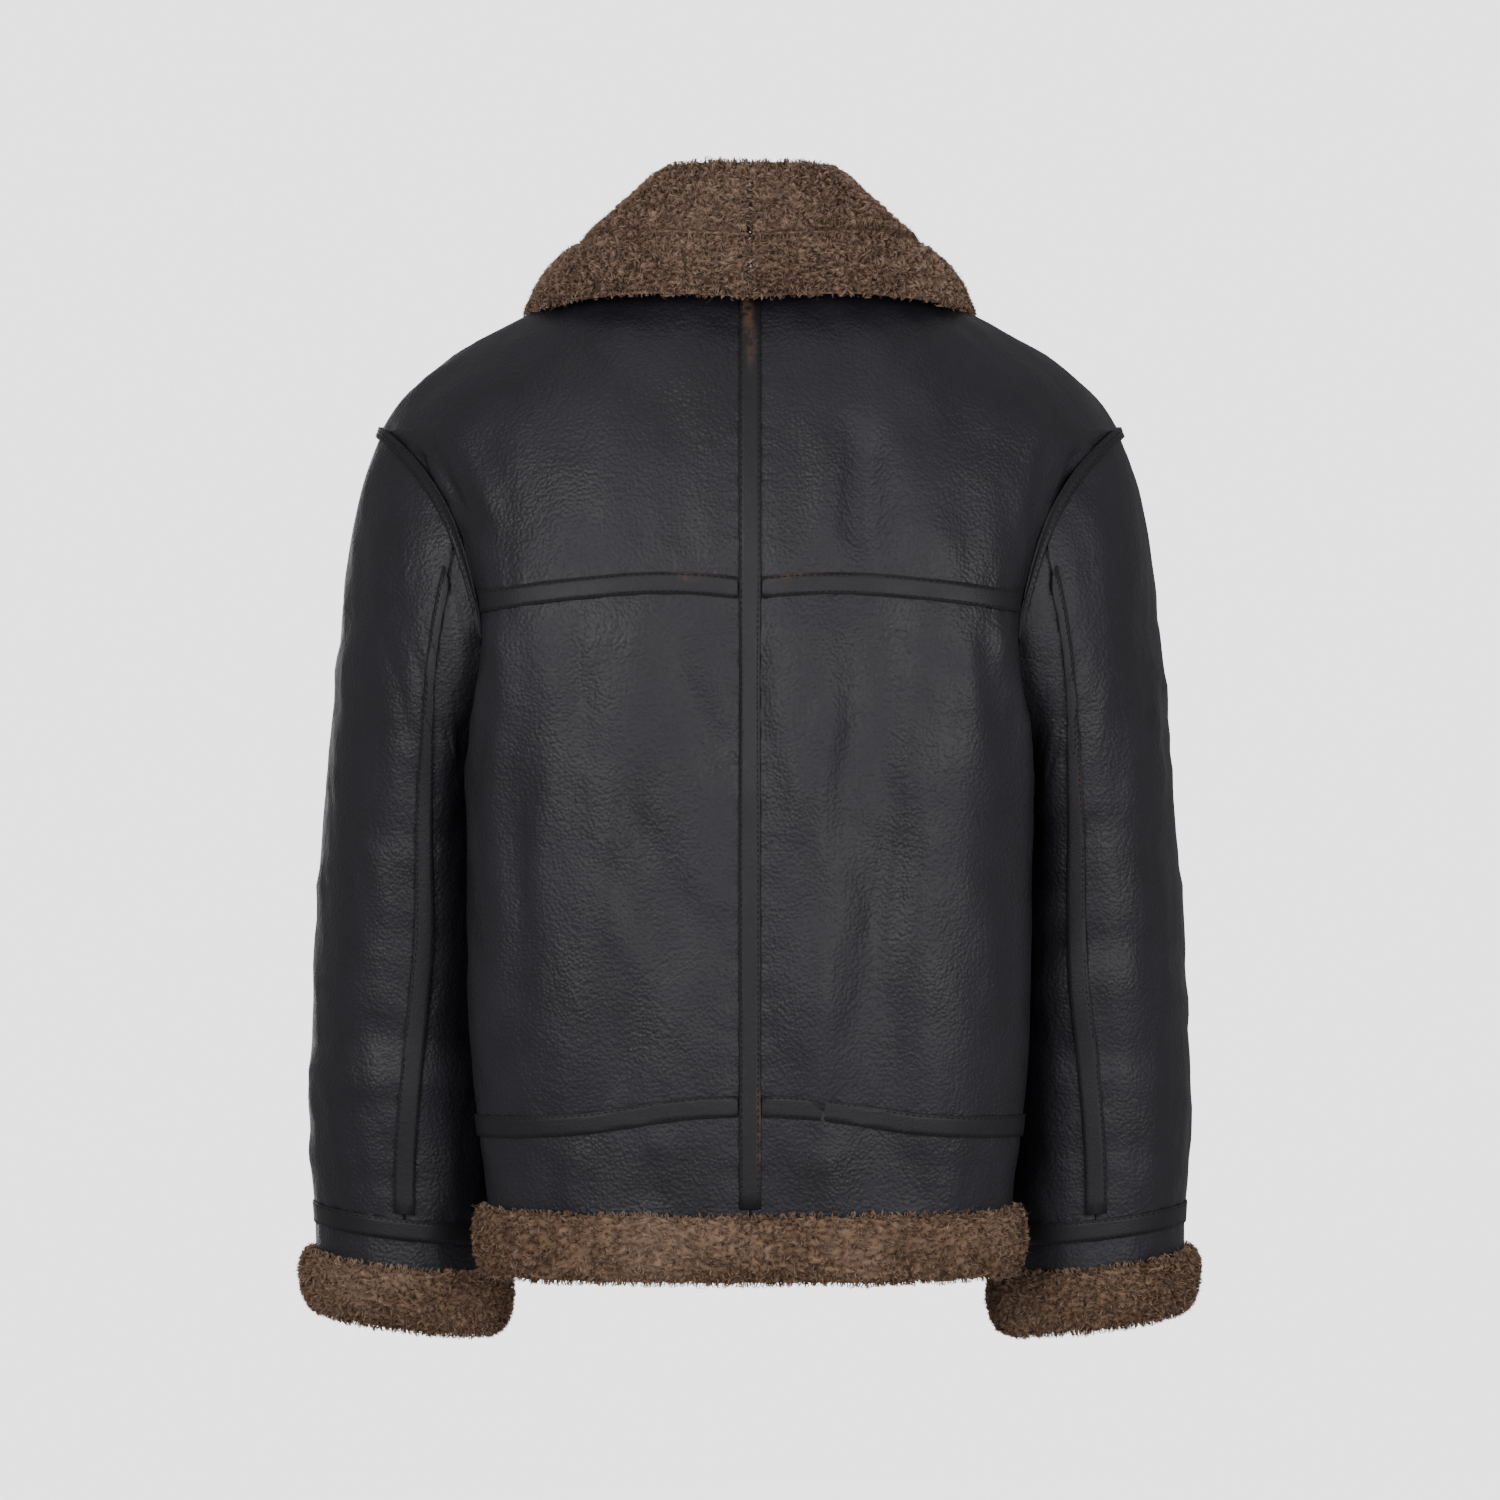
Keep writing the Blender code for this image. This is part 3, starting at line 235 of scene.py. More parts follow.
# A stitch's half width, its height and the gap under it, in millimetres
STITCH_HALF_MM = 0.38
STITCH_HIGH_MM = 0.24
STITCH_LIFT_MM = 0.05

# The skin under the wool's pile, in millimetres off the solid
CURL_SEEDS = 9000  # places from which the middles of the curls are picked
DOME_MM = 2.6  # how far the middle of a curl stands over its edge
SKIN_SINK_MM = 3.7  # how far the skin is set in, so that the pile ends near the solid
BUMPS_MM = 0.7  # broad unevenness of the wool
PARTING_SINK_MM = 2.2  # how much deeper the skin is where the wool parts

TOOTH_MM = (2.3, 1.9, 1.5)  # a zip tooth's width, depth and height
TOOTH_OUT_MM = 1.35  # from the zip's middle to a tooth's middle

# The studio's lamps: name, place in metres, width in metres and power in watts
LAMPS = (
    ("key_softbox", (1.3, 3.0, 0.4), 1.5, 50),
    ("fill_softbox", (-1.7, 2.8, -0.1), 1.7, 44),
    ("top_softbox", (0.2, 1.0, 2.4), 1.6, 6),
    ("front_softbox", (0.8, -3.3, -0.2), 2.0, 44),
)
SENSOR_MM = 36

# Where the dye has rubbed off the strips of the back, in millimetres: across and up to the middle,
# half its width and half its height, and how strongly
WEAR_SPOTS = (
    (2, -22, 2.6, 16, 0.9), (-1, -44, 2.2, 16, 0.55), (-62, -192, 34, 3, 0.5),
    (-30, -203, 14, 3, 0.5), (-98, -558, 22, 2.5, 0.6), (-6.5, -578, 1.5, 26, 0.7),
    (40, -204, 10, 2.5, 0.5), (-228, -330, 3, 30, 0.25),
)


# Small helpers


def unit(vectors: np.ndarray) -> np.ndarray:
    """Vectors of length one."""
    return vectors / np.maximum(np.linalg.norm(vectors, axis=-1, keepdims=True), 1e-12)


def ease(low: float, high: float, value: np.ndarray) -> np.ndarray:
    """0 before low, 1 after high, and an even turn between."""
    share = np.clip((value - low) / (high - low), 0, 1)
    return share * share * (3 - 2 * share)


def ripples(points: np.ndarray, size: float, seed: int, waves: int = 18) -> np.ndarray:
    """Smooth irregular heights about 0, made of plane waves.

    Args:
        points: Places, in metres.
        size: Length of a typical wave, in metres.
        seed: Picks the pattern.
        waves: How many waves are summed.

    Returns:
        One height a place, about -1 to 1.
    """
    rng = np.random.default_rng(seed)
    way = unit(rng.normal(size=(waves, 3))) * (2 * np.pi / (size * rng.uniform(0.7, 1.6, (waves, 1))))
    turn = rng.uniform(0, 2 * np.pi, waves)
    return np.sin(points @ way.T + turn).sum(1) / np.sqrt(waves)


def object_points(obj: bpy.types.Object) -> np.ndarray:
    """The vertex places of an object, as an array."""
    flat = np.empty(len(obj.data.vertices) * 3)
    obj.data.vertices.foreach_get("co", flat)
    return flat.reshape(-1, 3)


def object_normals(obj: bpy.types.Object) -> np.ndarray:
    """The vertex directions of an object, as an array."""
    flat = np.empty(len(obj.data.vertices) * 3)
    obj.data.vertex_normals.foreach_get("vector", flat)
    return flat.reshape(-1, 3)


def set_points(obj: bpy.types.Object, points: np.ndarray) -> None:
    """Moves an object's vertices."""
    obj.data.vertices.foreach_set("co", points.reshape(-1))
    obj.data.update()


def new_object(name: str, mesh: bpy.types.Mesh) -> bpy.types.Object:
    """Links a new object with the given mesh."""
    obj = bpy.data.objects.new(name, mesh)
    bpy.context.scene.collection.objects.link(obj)
    return obj


def mesh_object(name: str, build: bmesh.types.BMesh) -> bpy.types.Object:
    """Ends a bmesh as a new object of the given name."""
    mesh = bpy.data.meshes.new(name)
    build.to_mesh(mesh)
    build.free()
    return new_object(name, mesh)


# Materials


class NodeKit:
    """Builds one procedural material."""

    def __init__(self, name: str) -> None:
        """Starts a material of the given name with its shader."""
        self.material = bpy.data.materials.new(name)
        self.material.use_nodes = True
        self.tree = self.material.node_tree
        self.shader = self.tree.nodes["Principled BSDF"]

    def add(self, kind: str, settings: dict | None = None, links: dict | None = None) -> bpy.types.Node:
        """Adds a node.

        Args:
            kind: The node's class name.
            settings: Attribute names or socket names, and their values.
            links: Socket names, and the output sockets that feed them.

        Returns:
            The node.
        """
        node = self.tree.nodes.new(kind)
        for key, value in (settings or {}).items():
            if hasattr(node, key):
                setattr(node, key, value)
            else:
                node.inputs[key].default_value = value
        for key, output in (links or {}).items():
            self.tree.links.new(output, node.inputs[key])
        return node

    def mix(self, factor: bpy.types.NodeSocket, low: tuple, high: tuple) -> bpy.types.NodeSocket:
        """A colour between two others, by a factor."""
        node = self.add("ShaderNodeMix", {"data_type": "RGBA"}, {"Factor": factor})
        for index, value in ((6, low), (7, high)):
            if isinstance(value, tuple):
                node.inputs[index].default_value = value
            else:
                self.tree.links.new(value, node.inputs[index])
        return node.outputs[2]

    def noise(self, place: bpy.types.NodeSocket, scale: float, detail: float,
              rough: float = 0.5) -> bpy.types.NodeSocket:
        """An irregular pattern, with so many spots a metre."""
        settings = {"Scale": scale, "Detail": detail, "Roughness": rough}
        return self.add("ShaderNodeTexNoise", settings, {"Vector": place}).outputs["Fac"]

    def ramp(self, value: bpy.types.NodeSocket, low: float, high: float,
             to_low: float = 0.0, to_high: float = 1.0) -> bpy.types.NodeSocket:
        """A value moved from one range to another and held in it."""
        node = self.add(
            "ShaderNodeMapRange",
            {"From Min": low, "From Max": high, "To Min": to_low, "To Max": to_high},
            {"Value": value},
        )
        return node.outputs["Result"]

    def join(self, operation: str, first: bpy.types.NodeSocket,
             second: bpy.types.NodeSocket) -> bpy.types.NodeSocket:
        """Two values joined by an operation."""
        node = self.add("ShaderNodeMath", {"operation": operation})
        self.tree.links.new(first, node.inputs[0])
        self.tree.links.new(second, node.inputs[1])
        return node.outputs[0]

    def feed(self, socket: str, output: bpy.types.NodeSocket) -> None:
        """Links an output to the shader."""
        self.tree.links.new(output, self.shader.inputs[socket])

    def fix(self, values: dict) -> None:
        """Sets constants on the shader's sockets."""
        for socket, value in values.items():
            self.shader.inputs[socket].default_value = value


def leather(finish: LeatherFinish) -> bpy.types.Material:
    """Black grained leather: fine pebbles, soft wrinkles, and brown where the dye has worn."""
    kit = NodeKit(finish.name)
    place = kit.add("ShaderNodeTexCoord").outputs["Object"]
    grain = kit.add(
        "ShaderNodeTexVoronoi",
        {"feature": "SMOOTH_F1", "Scale": 1000 / finish.grain_mm, "Smoothness": 0.5, "Randomness": 0.9},
        {"Vector": place},
    ).outputs["Distance"]
    pores = kit.noise(place, 1000 / (finish.grain_mm * 2.2), 4.0, 0.62)
    cloud = kit.noise(place, CLOUDS_A_METRE, 5.0, 0.6)
    patch = kit.noise(place, RUBS_A_METRE, 6.0, 0.7)
    rubbed = kit.add("ShaderNodeAttribute", {"attribute_name": "wear"}).outputs["Fac"]
    speckled = kit.join("MULTIPLY", rubbed, kit.ramp(patch, 0.38, 0.62))
    worn = kit.join("MAXIMUM", speckled, kit.ramp(patch, 0.60, 0.80, 0.0, finish.wear))
    base = srgb(finish.colour)
    lighter = tuple(min(1.0, c * 1.45) for c in base[:3]) + (1.0,)
    shade = kit.mix(kit.ramp(cloud, 0.35, 0.7), base, lighter)
    kit.feed("Base Color", kit.mix(worn, shade, srgb(finish.worn)))
    kit.feed("Roughness", kit.ramp(cloud, 0.3, 0.7, finish.rough - 0.06, finish.rough + 0.10))
    kit.fix({"Specular IOR Level": 0.42})
    fine = kit.add("ShaderNodeBump", {"Strength": 1.0, "Distance": finish.grain_depth_mm * MM},
                   {"Height": grain})
    fine.invert = True
    soft = kit.add("ShaderNodeBump", {"Strength": 0.8, "Distance": finish.grain_depth_mm * 1.1 * MM},
                   {"Height": pores, "Normal": fine.outputs["Normal"]})
    kit.feed("Normal", soft.outputs["Normal"])
    return kit.material


def wool(finish: WoolFinish) -> bpy.types.Material:
    """Clipped curly wool: painted shade at the roots and between the curls, paler at the tips, in uneven
    curls.
    """
    kit = NodeKit(finish.name)
    place = kit.add("ShaderNodeTexCoord").outputs["Object"]
    pile = kit.add("ShaderNodeAttribute", {"attribute_name": "pile"})
    split = kit.add("ShaderNodeSeparateColor", {}, {"Color": pile.outputs["Color"]})
    curls = kit.noise(place, CURLS_A_METRE, 4.0, 0.6)
    broad = kit.noise(place, FADES_A_METRE, 3.0)
    # Painted shade: the root colour darkens the low pile and the skin between the curls, rising to the body
    # and tip colours
    along = kit.mix(kit.ramp(split.outputs["Red"], 0.05, 0.6), srgb(finish.root), srgb(finish.body))
    root_shade_to_tip = kit.mix(kit.ramp(split.outputs["Red"], 0.6, 1.0), along, srgb(finish.tip))
    darker = kit.mix(kit.ramp(curls, 0.38, 0.60, 0.18, 0.0), root_shade_to_tip, srgb(finish.root))
    tinted = kit.mix(kit.ramp(split.outputs["Green"], 0.0, 1.0, 0.40, 0.0), darker, srgb(finish.root))
    faded = kit.mix(kit.ramp(broad, 0.45, 0.7, 0.0, 0.22), tinted, srgb(finish.tip))
    kit.feed("Base Color", faded)
    kit.fix({
        "Roughness": 0.85, "Specular IOR Level": 0.2, "Sheen Weight": 0.15,
        "Sheen Roughness": 0.5, "Sheen Tint": srgb(finish.tip),
    })
    bump = kit.add("ShaderNodeBump", {"Strength": 0.8, "Distance": 0.0015}, {"Height": curls})
    kit.feed("Normal", bump.outputs["Normal"])
    return kit.material


def metal() -> bpy.types.Material:
    """Dull aged brass, with darker spots."""
    kit = NodeKit("Aged_brass")
    place = kit.add("ShaderNodeTexCoord").outputs["Object"]
    spots = kit.noise(place, TARNISH_A_METRE, 4.0)
    kit.feed("Base Color", kit.mix(kit.ramp(spots, 0.4, 0.65), srgb("8A7650"), srgb("5A4C36")))
    kit.feed("Roughness", kit.ramp(spots, 0.3, 0.7, 0.28, 0.5))
    kit.fix({"Metallic": 1.0})
    return kit.material


def woven(name: str, colour: str, pitch_mm: float) -> bpy.types.Material:
    """Tightly woven tape or thread."""
    kit = NodeKit(name)
    place = kit.add("ShaderNodeTexCoord").outputs["Object"]
    ribs = kit.add("ShaderNodeTexWave", {"Scale": 1000 / (pitch_mm * 6.28), "bands_direction": "Z"},
                   {"Vector": place}).outputs["Fac"]
    kit.fix({"Base Color": srgb(colour), "Roughness": 0.85})
    bump = kit.add("ShaderNodeBump", {"Strength": 0.6, "Distance": 0.0002}, {"Height": ribs})
    kit.feed("Normal", bump.outputs["Normal"])
    return kit.material


@dataclass
class Materials:
    """The jacket's materials, made once."""

    panel: bpy.types.Material = field(default_factory=lambda: leather(PANEL_LEATHER))
    strip: bpy.types.Material = field(default_factory=lambda: leather(STRIP_LEATHER))
    collar: bpy.types.Material = field(default_factory=lambda: wool(COLLAR_WOOL))
    trim: bpy.types.Material = field(default_factory=lambda: wool(TRIM_WOOL))
    lining: bpy.types.Material = field(default_factory=lambda: wool(LINING_WOOL))
    brass: bpy.types.Material = field(default_factory=metal)
    tape: bpy.types.Material = field(default_factory=lambda: woven("Woven_zip_tape", "151314", 0.8))
    thread: bpy.types.Material = field(default_factory=lambda: woven("Waxed_black_thread", "0C0B0D", 0.5))


# Shells from the solids


def welded(node: str) -> bmesh.types.BMesh:
    """A CAD node's solid in the row frame, with its flat triangles joined into larger faces."""
    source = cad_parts[node]
    build = bmesh.new()
    build.from_mesh(source.data)
    build.transform(source.matrix_world)
    bmesh.ops.remove_doubles(build, verts=build.verts, dist=WELD_M)
    bmesh.ops.join_triangles(
        build, faces=build.faces, cmp_seam=False, cmp_sharp=False, cmp_uvs=False, cmp_vcols=False,
        cmp_materials=False, angle_face_threshold=JOIN_BEND, angle_shape_threshold=JOIN_SKEW,
    )
    return build


def smooth_copy(node: str, name: str, levels: int, sharp: float = 50.0) -> bpy.types.Object:
    """A finer, smoother copy of a CAD node, with its rims kept.

    Args:
        node: The CAD node.
        name: The new piece's name.
        levels: How often each face is divided.
        sharp: Edges that bend more than this many degrees stay crisp.

    Returns:
        The new object, in the row frame.
    """
    build = welded(node)
    crease = build.edges.layers.float.new("crease_edge")
    for edge in build.edges:
        if len(edge.link_faces) == 2 and edge.calc_face_angle(0) > radians(sharp):
            edge[crease] = RIM_CREASE
    rough = mesh_object(name, build)
    divide = rough.modifiers.new("finer", "SUBSURF")
    divide.levels = divide.render_levels = levels
    divide.boundary_smooth = "PRESERVE_CORNERS"
    graph = bpy.context.evaluated_depsgraph_get()
    fine = bpy.data.meshes.new_from_object(rough.evaluated_get(graph))
    rough.modifiers.clear()
    rough.data = fine
    fine.shade_smooth()
    fine.materials.clear()
    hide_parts(node)
    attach(rough, "pull" if node == "zip_pull" else "jacket")
    return rough


def paint_wear(obj: bpy.types.Object, points: np.ndarray) -> None:
    """Stores how worn the dye is at each vertex of a piece of the back."""
    x, y, z = (points / MM).T
    worn = np.zeros(len(points))
    for middle_x, middle_z, half_x, half_z, amount in WEAR_SPOTS:
        reach = ((x - middle_x) / half_x) ** 2 + ((z - middle_z) / half_z) ** 2
        worn = np.maximum(worn, amount * np.exp(-reach) * (y > 0))
    layer = obj.data.attributes.new("wear", "FLOAT", "POINT")
    layer.data.foreach_set("value", worn)


def strip_tree() -> KDTree:
    """All the sewn strips' points, to find how far a panel's point is from a seam."""
    strips = [object_points(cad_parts[n]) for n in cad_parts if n.startswith("strip_")]
    return point_tree(np.concatenate(strips))


def line_creases(points: np.ndarray, table: tuple) -> np.ndarray:
    """How far the long creases of a table move the leather, in metres."""
    x, z = points[:, 0] / MM, points[:, 2] / MM
    moved = np.zeros(len(points))
    for x0, z0, x1, z1, half, out in table:
        down = (z0 - z) / (z0 - z1)
        middle = x0 + (x1 - x0) * down + 3.5 * np.sin(z / 23 + x0)
        width = half * (1 + 0.35 * np.sin(z / 37 + z0))
        depth = 1 + 0.4 * np.sin(z / 29 + x1)
        along = ease(-0.1, 0.25, down) * (1 - ease(0.75, 1.1, down))
        moved += out * depth * along * np.exp(-(((x - middle) / width) ** 2))
    return moved * MM


def sleeve_creases(points: np.ndarray, side: Side) -> np.ndarray:
    """How far the cross creases of a sleeve move the leather, in metres."""
    y, z = points[:, 1] / MM, points[:, 2] / MM
    moved = np.zeros(len(points))
    for height, depth, half, width, slant, out in SLEEVE_CREASES[side]:
        level = height + slant * (y - depth) + 3 * np.sin(y / 17 + height)
        across = np.exp(-(((y - depth) / width) ** 2))
        moved += out * across * np.exp(-(((z - level) / half) ** 2))
    return moved * MM


@dataclass
class Panel:
    """A leather panel: a thin shell with leather outside and wool inside."""

    node: str
    region: Region
    side: Side
    seams: KDTree
    materials: Materials

    def build(self) -> bpy.types.Object:
        """Makes the panel, creased and swollen between its seams.

        Returns:
            The panel's piece.
        """
        obj = smooth_copy(self.node, f"{self.node}_leather", 2)
        points, normals = object_points(obj), object_normals(obj)
        outward = self.outward(points)
        facing = (normals * outward).sum(1)
        gap = np.array([self.seams.find(Vector(p))[2] for p in points]) / MM
        moved = SWELL_MM * MM * (1 - np.exp(-gap / SWELL_REACH_MM)) * ease(1, 6, gap)
        pucker = ripples(points, 0.010, 5) * np.exp(-gap / PUCKER_REACH_MM) * ease(2, 5, gap)
        moved += PUCKER_MM * MM * pucker
        broad = ripples(points * np.array([1.6, 1.6, 0.42]), 0.055, 11)
        fine = ripples(points * np.array([1.5, 1.5, 0.55]), 0.021, 17)
        loose = ease(4, 22, gap)
        low = ease(-0.13, -0.22, points[:, 2])
        moved += (BROAD_MM * broad + (FINE_MM + FINE_LOW_MM * low) * fine) * MM * loose
        moved += self.creases(points) * ease(1.5, 8, gap)
        way = np.where((facing > 0)[:, None], normals, -normals)
        set_points(obj, points + way * moved[:, None])
        self.paint(obj)
        return obj

    def creases(self, points: np.ndarray) -> np.ndarray:
        """How far the creases of the panel's own table move it, in metres."""
        if self.region is Region.BACK:
            return BACK_GAIN * line_creases(points, BACK_CREASES)
        if self.region is Region.FRONT:
            return line_creases(points, FRONT_CREASES)
        if self.region is Region.SLEEVE:
            return SLEEVE_GAIN * sleeve_creases(points, self.side)
        return np.zeros(len(points))

    def outward(self, points: np.ndarray) -> np.ndarray:
        """The direction away from the middle of the body or of the sleeve at each place."""
        middle = np.zeros_like(points)
        middle[:, 2] = points[:, 2]
        if self.region is Region.SLEEVE or "cuff" in self.node:
            z = points[:, 2] / MM
            middle[:, 0] = self.side.value * np.interp(-z, SLEEVE_DOWN, SLEEVE_ACROSS) * MM
            middle[:, 1] = np.interp(-z, SLEEVE_DOWN, SLEEVE_BACK) * MM
        else:
            middle[:, 2] = np.minimum(points[:, 2], BODY_TOP_Z)
            middle[:, 0] = np.clip(points[:, 0], -BODY_CORE_M, BODY_CORE_M)
        return unit(points - middle)

    def paint(self, obj: bpy.types.Object) -> None:
        """Leather on the outer faces and rims, wool on the inner ones."""
        obj.data.materials.append(self.materials.panel)
        obj.data.materials.append(self.materials.lining)
        count = len(obj.data.polygons)
        centre, normal = np.empty(count * 3), np.empty(count * 3)
        obj.data.polygons.foreach_get("center", centre)
        obj.data.polygons.foreach_get("normal", normal)
        centre, normal = centre.reshape(-1, 3), normal.reshape(-1, 3)
        inner = (normal * self.outward(centre)).sum(1) < -0.35
        obj.data.polygons.foreach_set("material_index", inner.astype(np.int32))


@dataclass
class Strip:
    """A narrow leather strip sewn over a seam, with a row of stitches along each edge."""

    node: str
    materials: Materials
    stitch_mm: float = 3.0
    pitch_mm: float = 4.4
    inset_mm: float = 1.7
    broad_m: float = 0.0012  # a face's area by its rim, above which it is the strip's broad face
    shortest_m: float = 0.03  # a shorter run of rim has no stitches

    def build(self) -> bpy.types.Object:
        """Makes the strip and its stitches.

        Returns:
            The strip's piece.
        """
        obj = smooth_copy(self.node, f"{self.node}_leather", 1)
        points, normals = object_points(obj), object_normals(obj)
        obj.data.materials.append(self.materials.strip)
        set_points(obj, points + normals * (0.10 * MM * ripples(points, 0.014, 23))[:, None])
        self.sew(obj)
        paint_wear(obj, points)
        return obj

    def lines(self) -> list[np.ndarray]:
        """The strip's two long outer edges, drawn in by the inset and kept on its face."""
        build = welded(self.node)
        wide = {f for f in build.faces if f.calc_area() / f.calc_perimeter() > self.broad_m}
        lines = []
        seen = set()
        for edge in build.edges:
            if edge not in seen and self.is_rim(edge, wide):
                chain = self.run(edge, wide, seen)
                if sum(e.calc_length() for e in chain) >= self.shortest_m:
                    lines.append(self.inset(chain, wide))
        build.free()
        return lines

    def run(self, edge: bmesh.types.BMEdge, wide: set, seen: set) -> list:
        """The run of rim that an edge belongs to.

        Args:
            edge: The edge to start from.
            wide: The strip's broad faces.
            seen: The edges that are in a run already, to which this run is added.

        Returns:
            The run's edges in order.
        """
        chain = [edge]
        seen.add(edge)
        for start in edge.verts:
            at, last = start, edge
            while True:
                after = [e for e in at.link_edges
                         if e not in seen and self.is_rim(e, wide) and self.turns_little(last, e, at)]
                if not after:
                    break
                last = after[0]
                seen.add(last)
                at = last.other_vert(at)
                if start is edge.verts[0]:
                    chain.insert(0, last)
                else:
                    chain.append(last)
        return chain

    @staticmethod
    def is_rim(edge: bmesh.types.BMEdge, wide: set) -> bool:
        """Whether an edge parts a broad face from a narrow one."""
        return len(edge.link_faces) == 2 and sum(f in wide for f in edge.link_faces) == 1

    @staticmethod
    def turns_little(first: bmesh.types.BMEdge, second: bmesh.types.BMEdge,
                     at: bmesh.types.BMVert) -> bool:
        """Whether a chain runs on from one edge to the next."""
        before = (at.co - first.other_vert(at).co).normalized()
        after = (second.other_vert(at).co - at.co).normalized()
        return before.dot(after) > 0.55

    def inset(self, chain: list, wide: set) -> np.ndarray:
        """Places of a rim moved into the broad face, with that face's directions beside them."""
        rows = []
        for edge in chain:
            face = next(f for f in edge.link_faces if f in wide)
            middle = (edge.verts[0].co + edge.verts[1].co) / 2
            into = face.calc_center_median() - middle
            along = (edge.verts[1].co - edge.verts[0].co).normalized()
            into = (into - along * into.dot(along)).normalized()
            for vert in edge.verts:
                rows.append([*(vert.co + into * self.inset_mm * MM), *face.normal])
        return np.array(rows)

    def sew(self, obj: bpy.types.Object) -> None:
        """Lays small thread stitches on the finished strip, along its outer edges."""
        surface = BVHTree.FromPolygons(
            [v.co for v in obj.data.vertices], [p.vertices for p in obj.data.polygons]
        )
        pieces = []
        for rows in self.lines():
            centre = rows[:, :3].mean(0)
            outward = unit(centre - self.heart(centre))
            if (rows[:, 3:] @ outward).mean() < 0:
                continue
            for start, end in zip(rows[0::2], rows[1::2]):
                length = np.linalg.norm(end[:3] - start[:3])
                count = max(1, round(length / (self.pitch_mm * MM)))
                for k in range(count):
                    place = start[:3] + (end[:3] - start[:3]) * (k + 0.5) / count
                    way, off = unit(end[:3] - start[:3]), unit(start[3:])
                    if off @ unit(place - self.heart(place)) > 0.5:
                        landed, facing, _, _ = surface.find_nearest(Vector(place))
                        pieces.append((np.array(landed), way, np.array(facing)))
        if pieces:
            stitches = stitch_mesh(f"{self.node}_stitches", pieces, self.stitch_mm)
            stitches.data.materials.append(self.materials.thread)
            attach(stitches, "jacket")

    def heart(self, place: np.ndarray) -> np.ndarray:
        """A place inside the jacket level with the strip."""
        if "sleeve" in self.node or "cuff" in self.node:
            return np.array([0.242 * np.sign(place[0]), -0.015, place[2]])
        return np.array([0.3 * place[0], 0, place[2] - 0.03])


def stitch_mesh(name: str, stitches: list, length_mm: float) -> bpy.types.Object:
    """One mesh of many short rounded stitches.

    Args:
        name: The piece's name.
        stitches: For each stitch its place, its direction and the direction off the leather.
        length_mm: Length of a stitch.

    Returns:
        The joined piece.
    """
    half, wide, high = length_mm / 2 * MM, STITCH_HALF_MM * MM, STITCH_HIGH_MM * MM
    shape = np.array([
        (-1, 0, -0.5), (-0.6, -1, 0), (-0.6, 0, 1), (-0.6, 1, 0),
        (0.6, -1, 0), (0.6, 0, 1), (0.6, 1, 0), (1, 0, -0.5),
    ])
    faces = (
        (0, 2, 1), (0, 3, 2), (1, 2, 5, 4), (2, 3, 6, 5),
        (4, 5, 7), (5, 6, 7), (0, 1, 4, 7), (0, 7, 6, 3),
    )
    points, all_faces = [], []
    for place, way, off in stitches:
        across = np.cross(off, way)
        base = len(points)
        for a, b, c in shape:
            points.append(place + way * a * half + across * b * wide + off * (c * high + STITCH_LIFT_MM * MM))
        all_faces.extend(tuple(base + k for k in face) for face in faces)
    mesh = bpy.data.meshes.new(name)
    mesh.from_pydata([tuple(p) for p in points], [], all_faces)
    mesh.shade_smooth()
    return new_object(name, mesh)


# Wool


def surface_samples(obj: bpy.types.Object, count: int, rng: np.random.Generator) -> tuple:
    """Even random places on an object's surface.

    Args:
        obj: The object.
        count: How many places.
        rng: The source of chance.

    Returns:
        Places and directions.
    """
    mesh = obj.data
    mesh.calc_loop_triangles()
    corners = np.empty(len(mesh.loop_triangles) * 3, np.int32)
    mesh.loop_triangles.foreach_get("vertices", corners)
    corners = corners.reshape(-1, 3)
    points, normals = object_points(obj), object_normals(obj)
    a, b, c = (points[corners[:, k]] for k in range(3))
    area = np.linalg.norm(np.cross(b - a, c - a), axis=1)
    pick = rng.choice(len(corners), count, p=area / area.sum())
    u, v = rng.random(count), rng.random(count)
    swap = u + v > 1
    u[swap], v[swap] = 1 - u[swap], 1 - v[swap]
    w = 1 - u - v
    weights = np.stack([w, u, v], 1)[..., None]
    places = (points[corners[pick]] * weights).sum(1)
    facing = unit((normals[corners[pick]] * weights).sum(1))
    return places, facing


def point_tree(places: np.ndarray) -> KDTree:
    """A search tree of places."""
    tree = KDTree(len(places))
    for index, place in enumerate(places):
        tree.insert(Vector(place), index)
    tree.balance()
    return tree


def thinned(places: np.ndarray, spacing: float) -> np.ndarray:
    """Which of the places to keep so that none is nearer another than the spacing."""
    tree = point_tree(places)
    free = np.ones(len(places), bool)
    kept = []
    for index, place in enumerate(places):
        if free[index]:
            kept.append(index)
            for _, other, _ in tree.find_range(Vector(place), spacing):
                free[other] = False
    return np.array(kept)


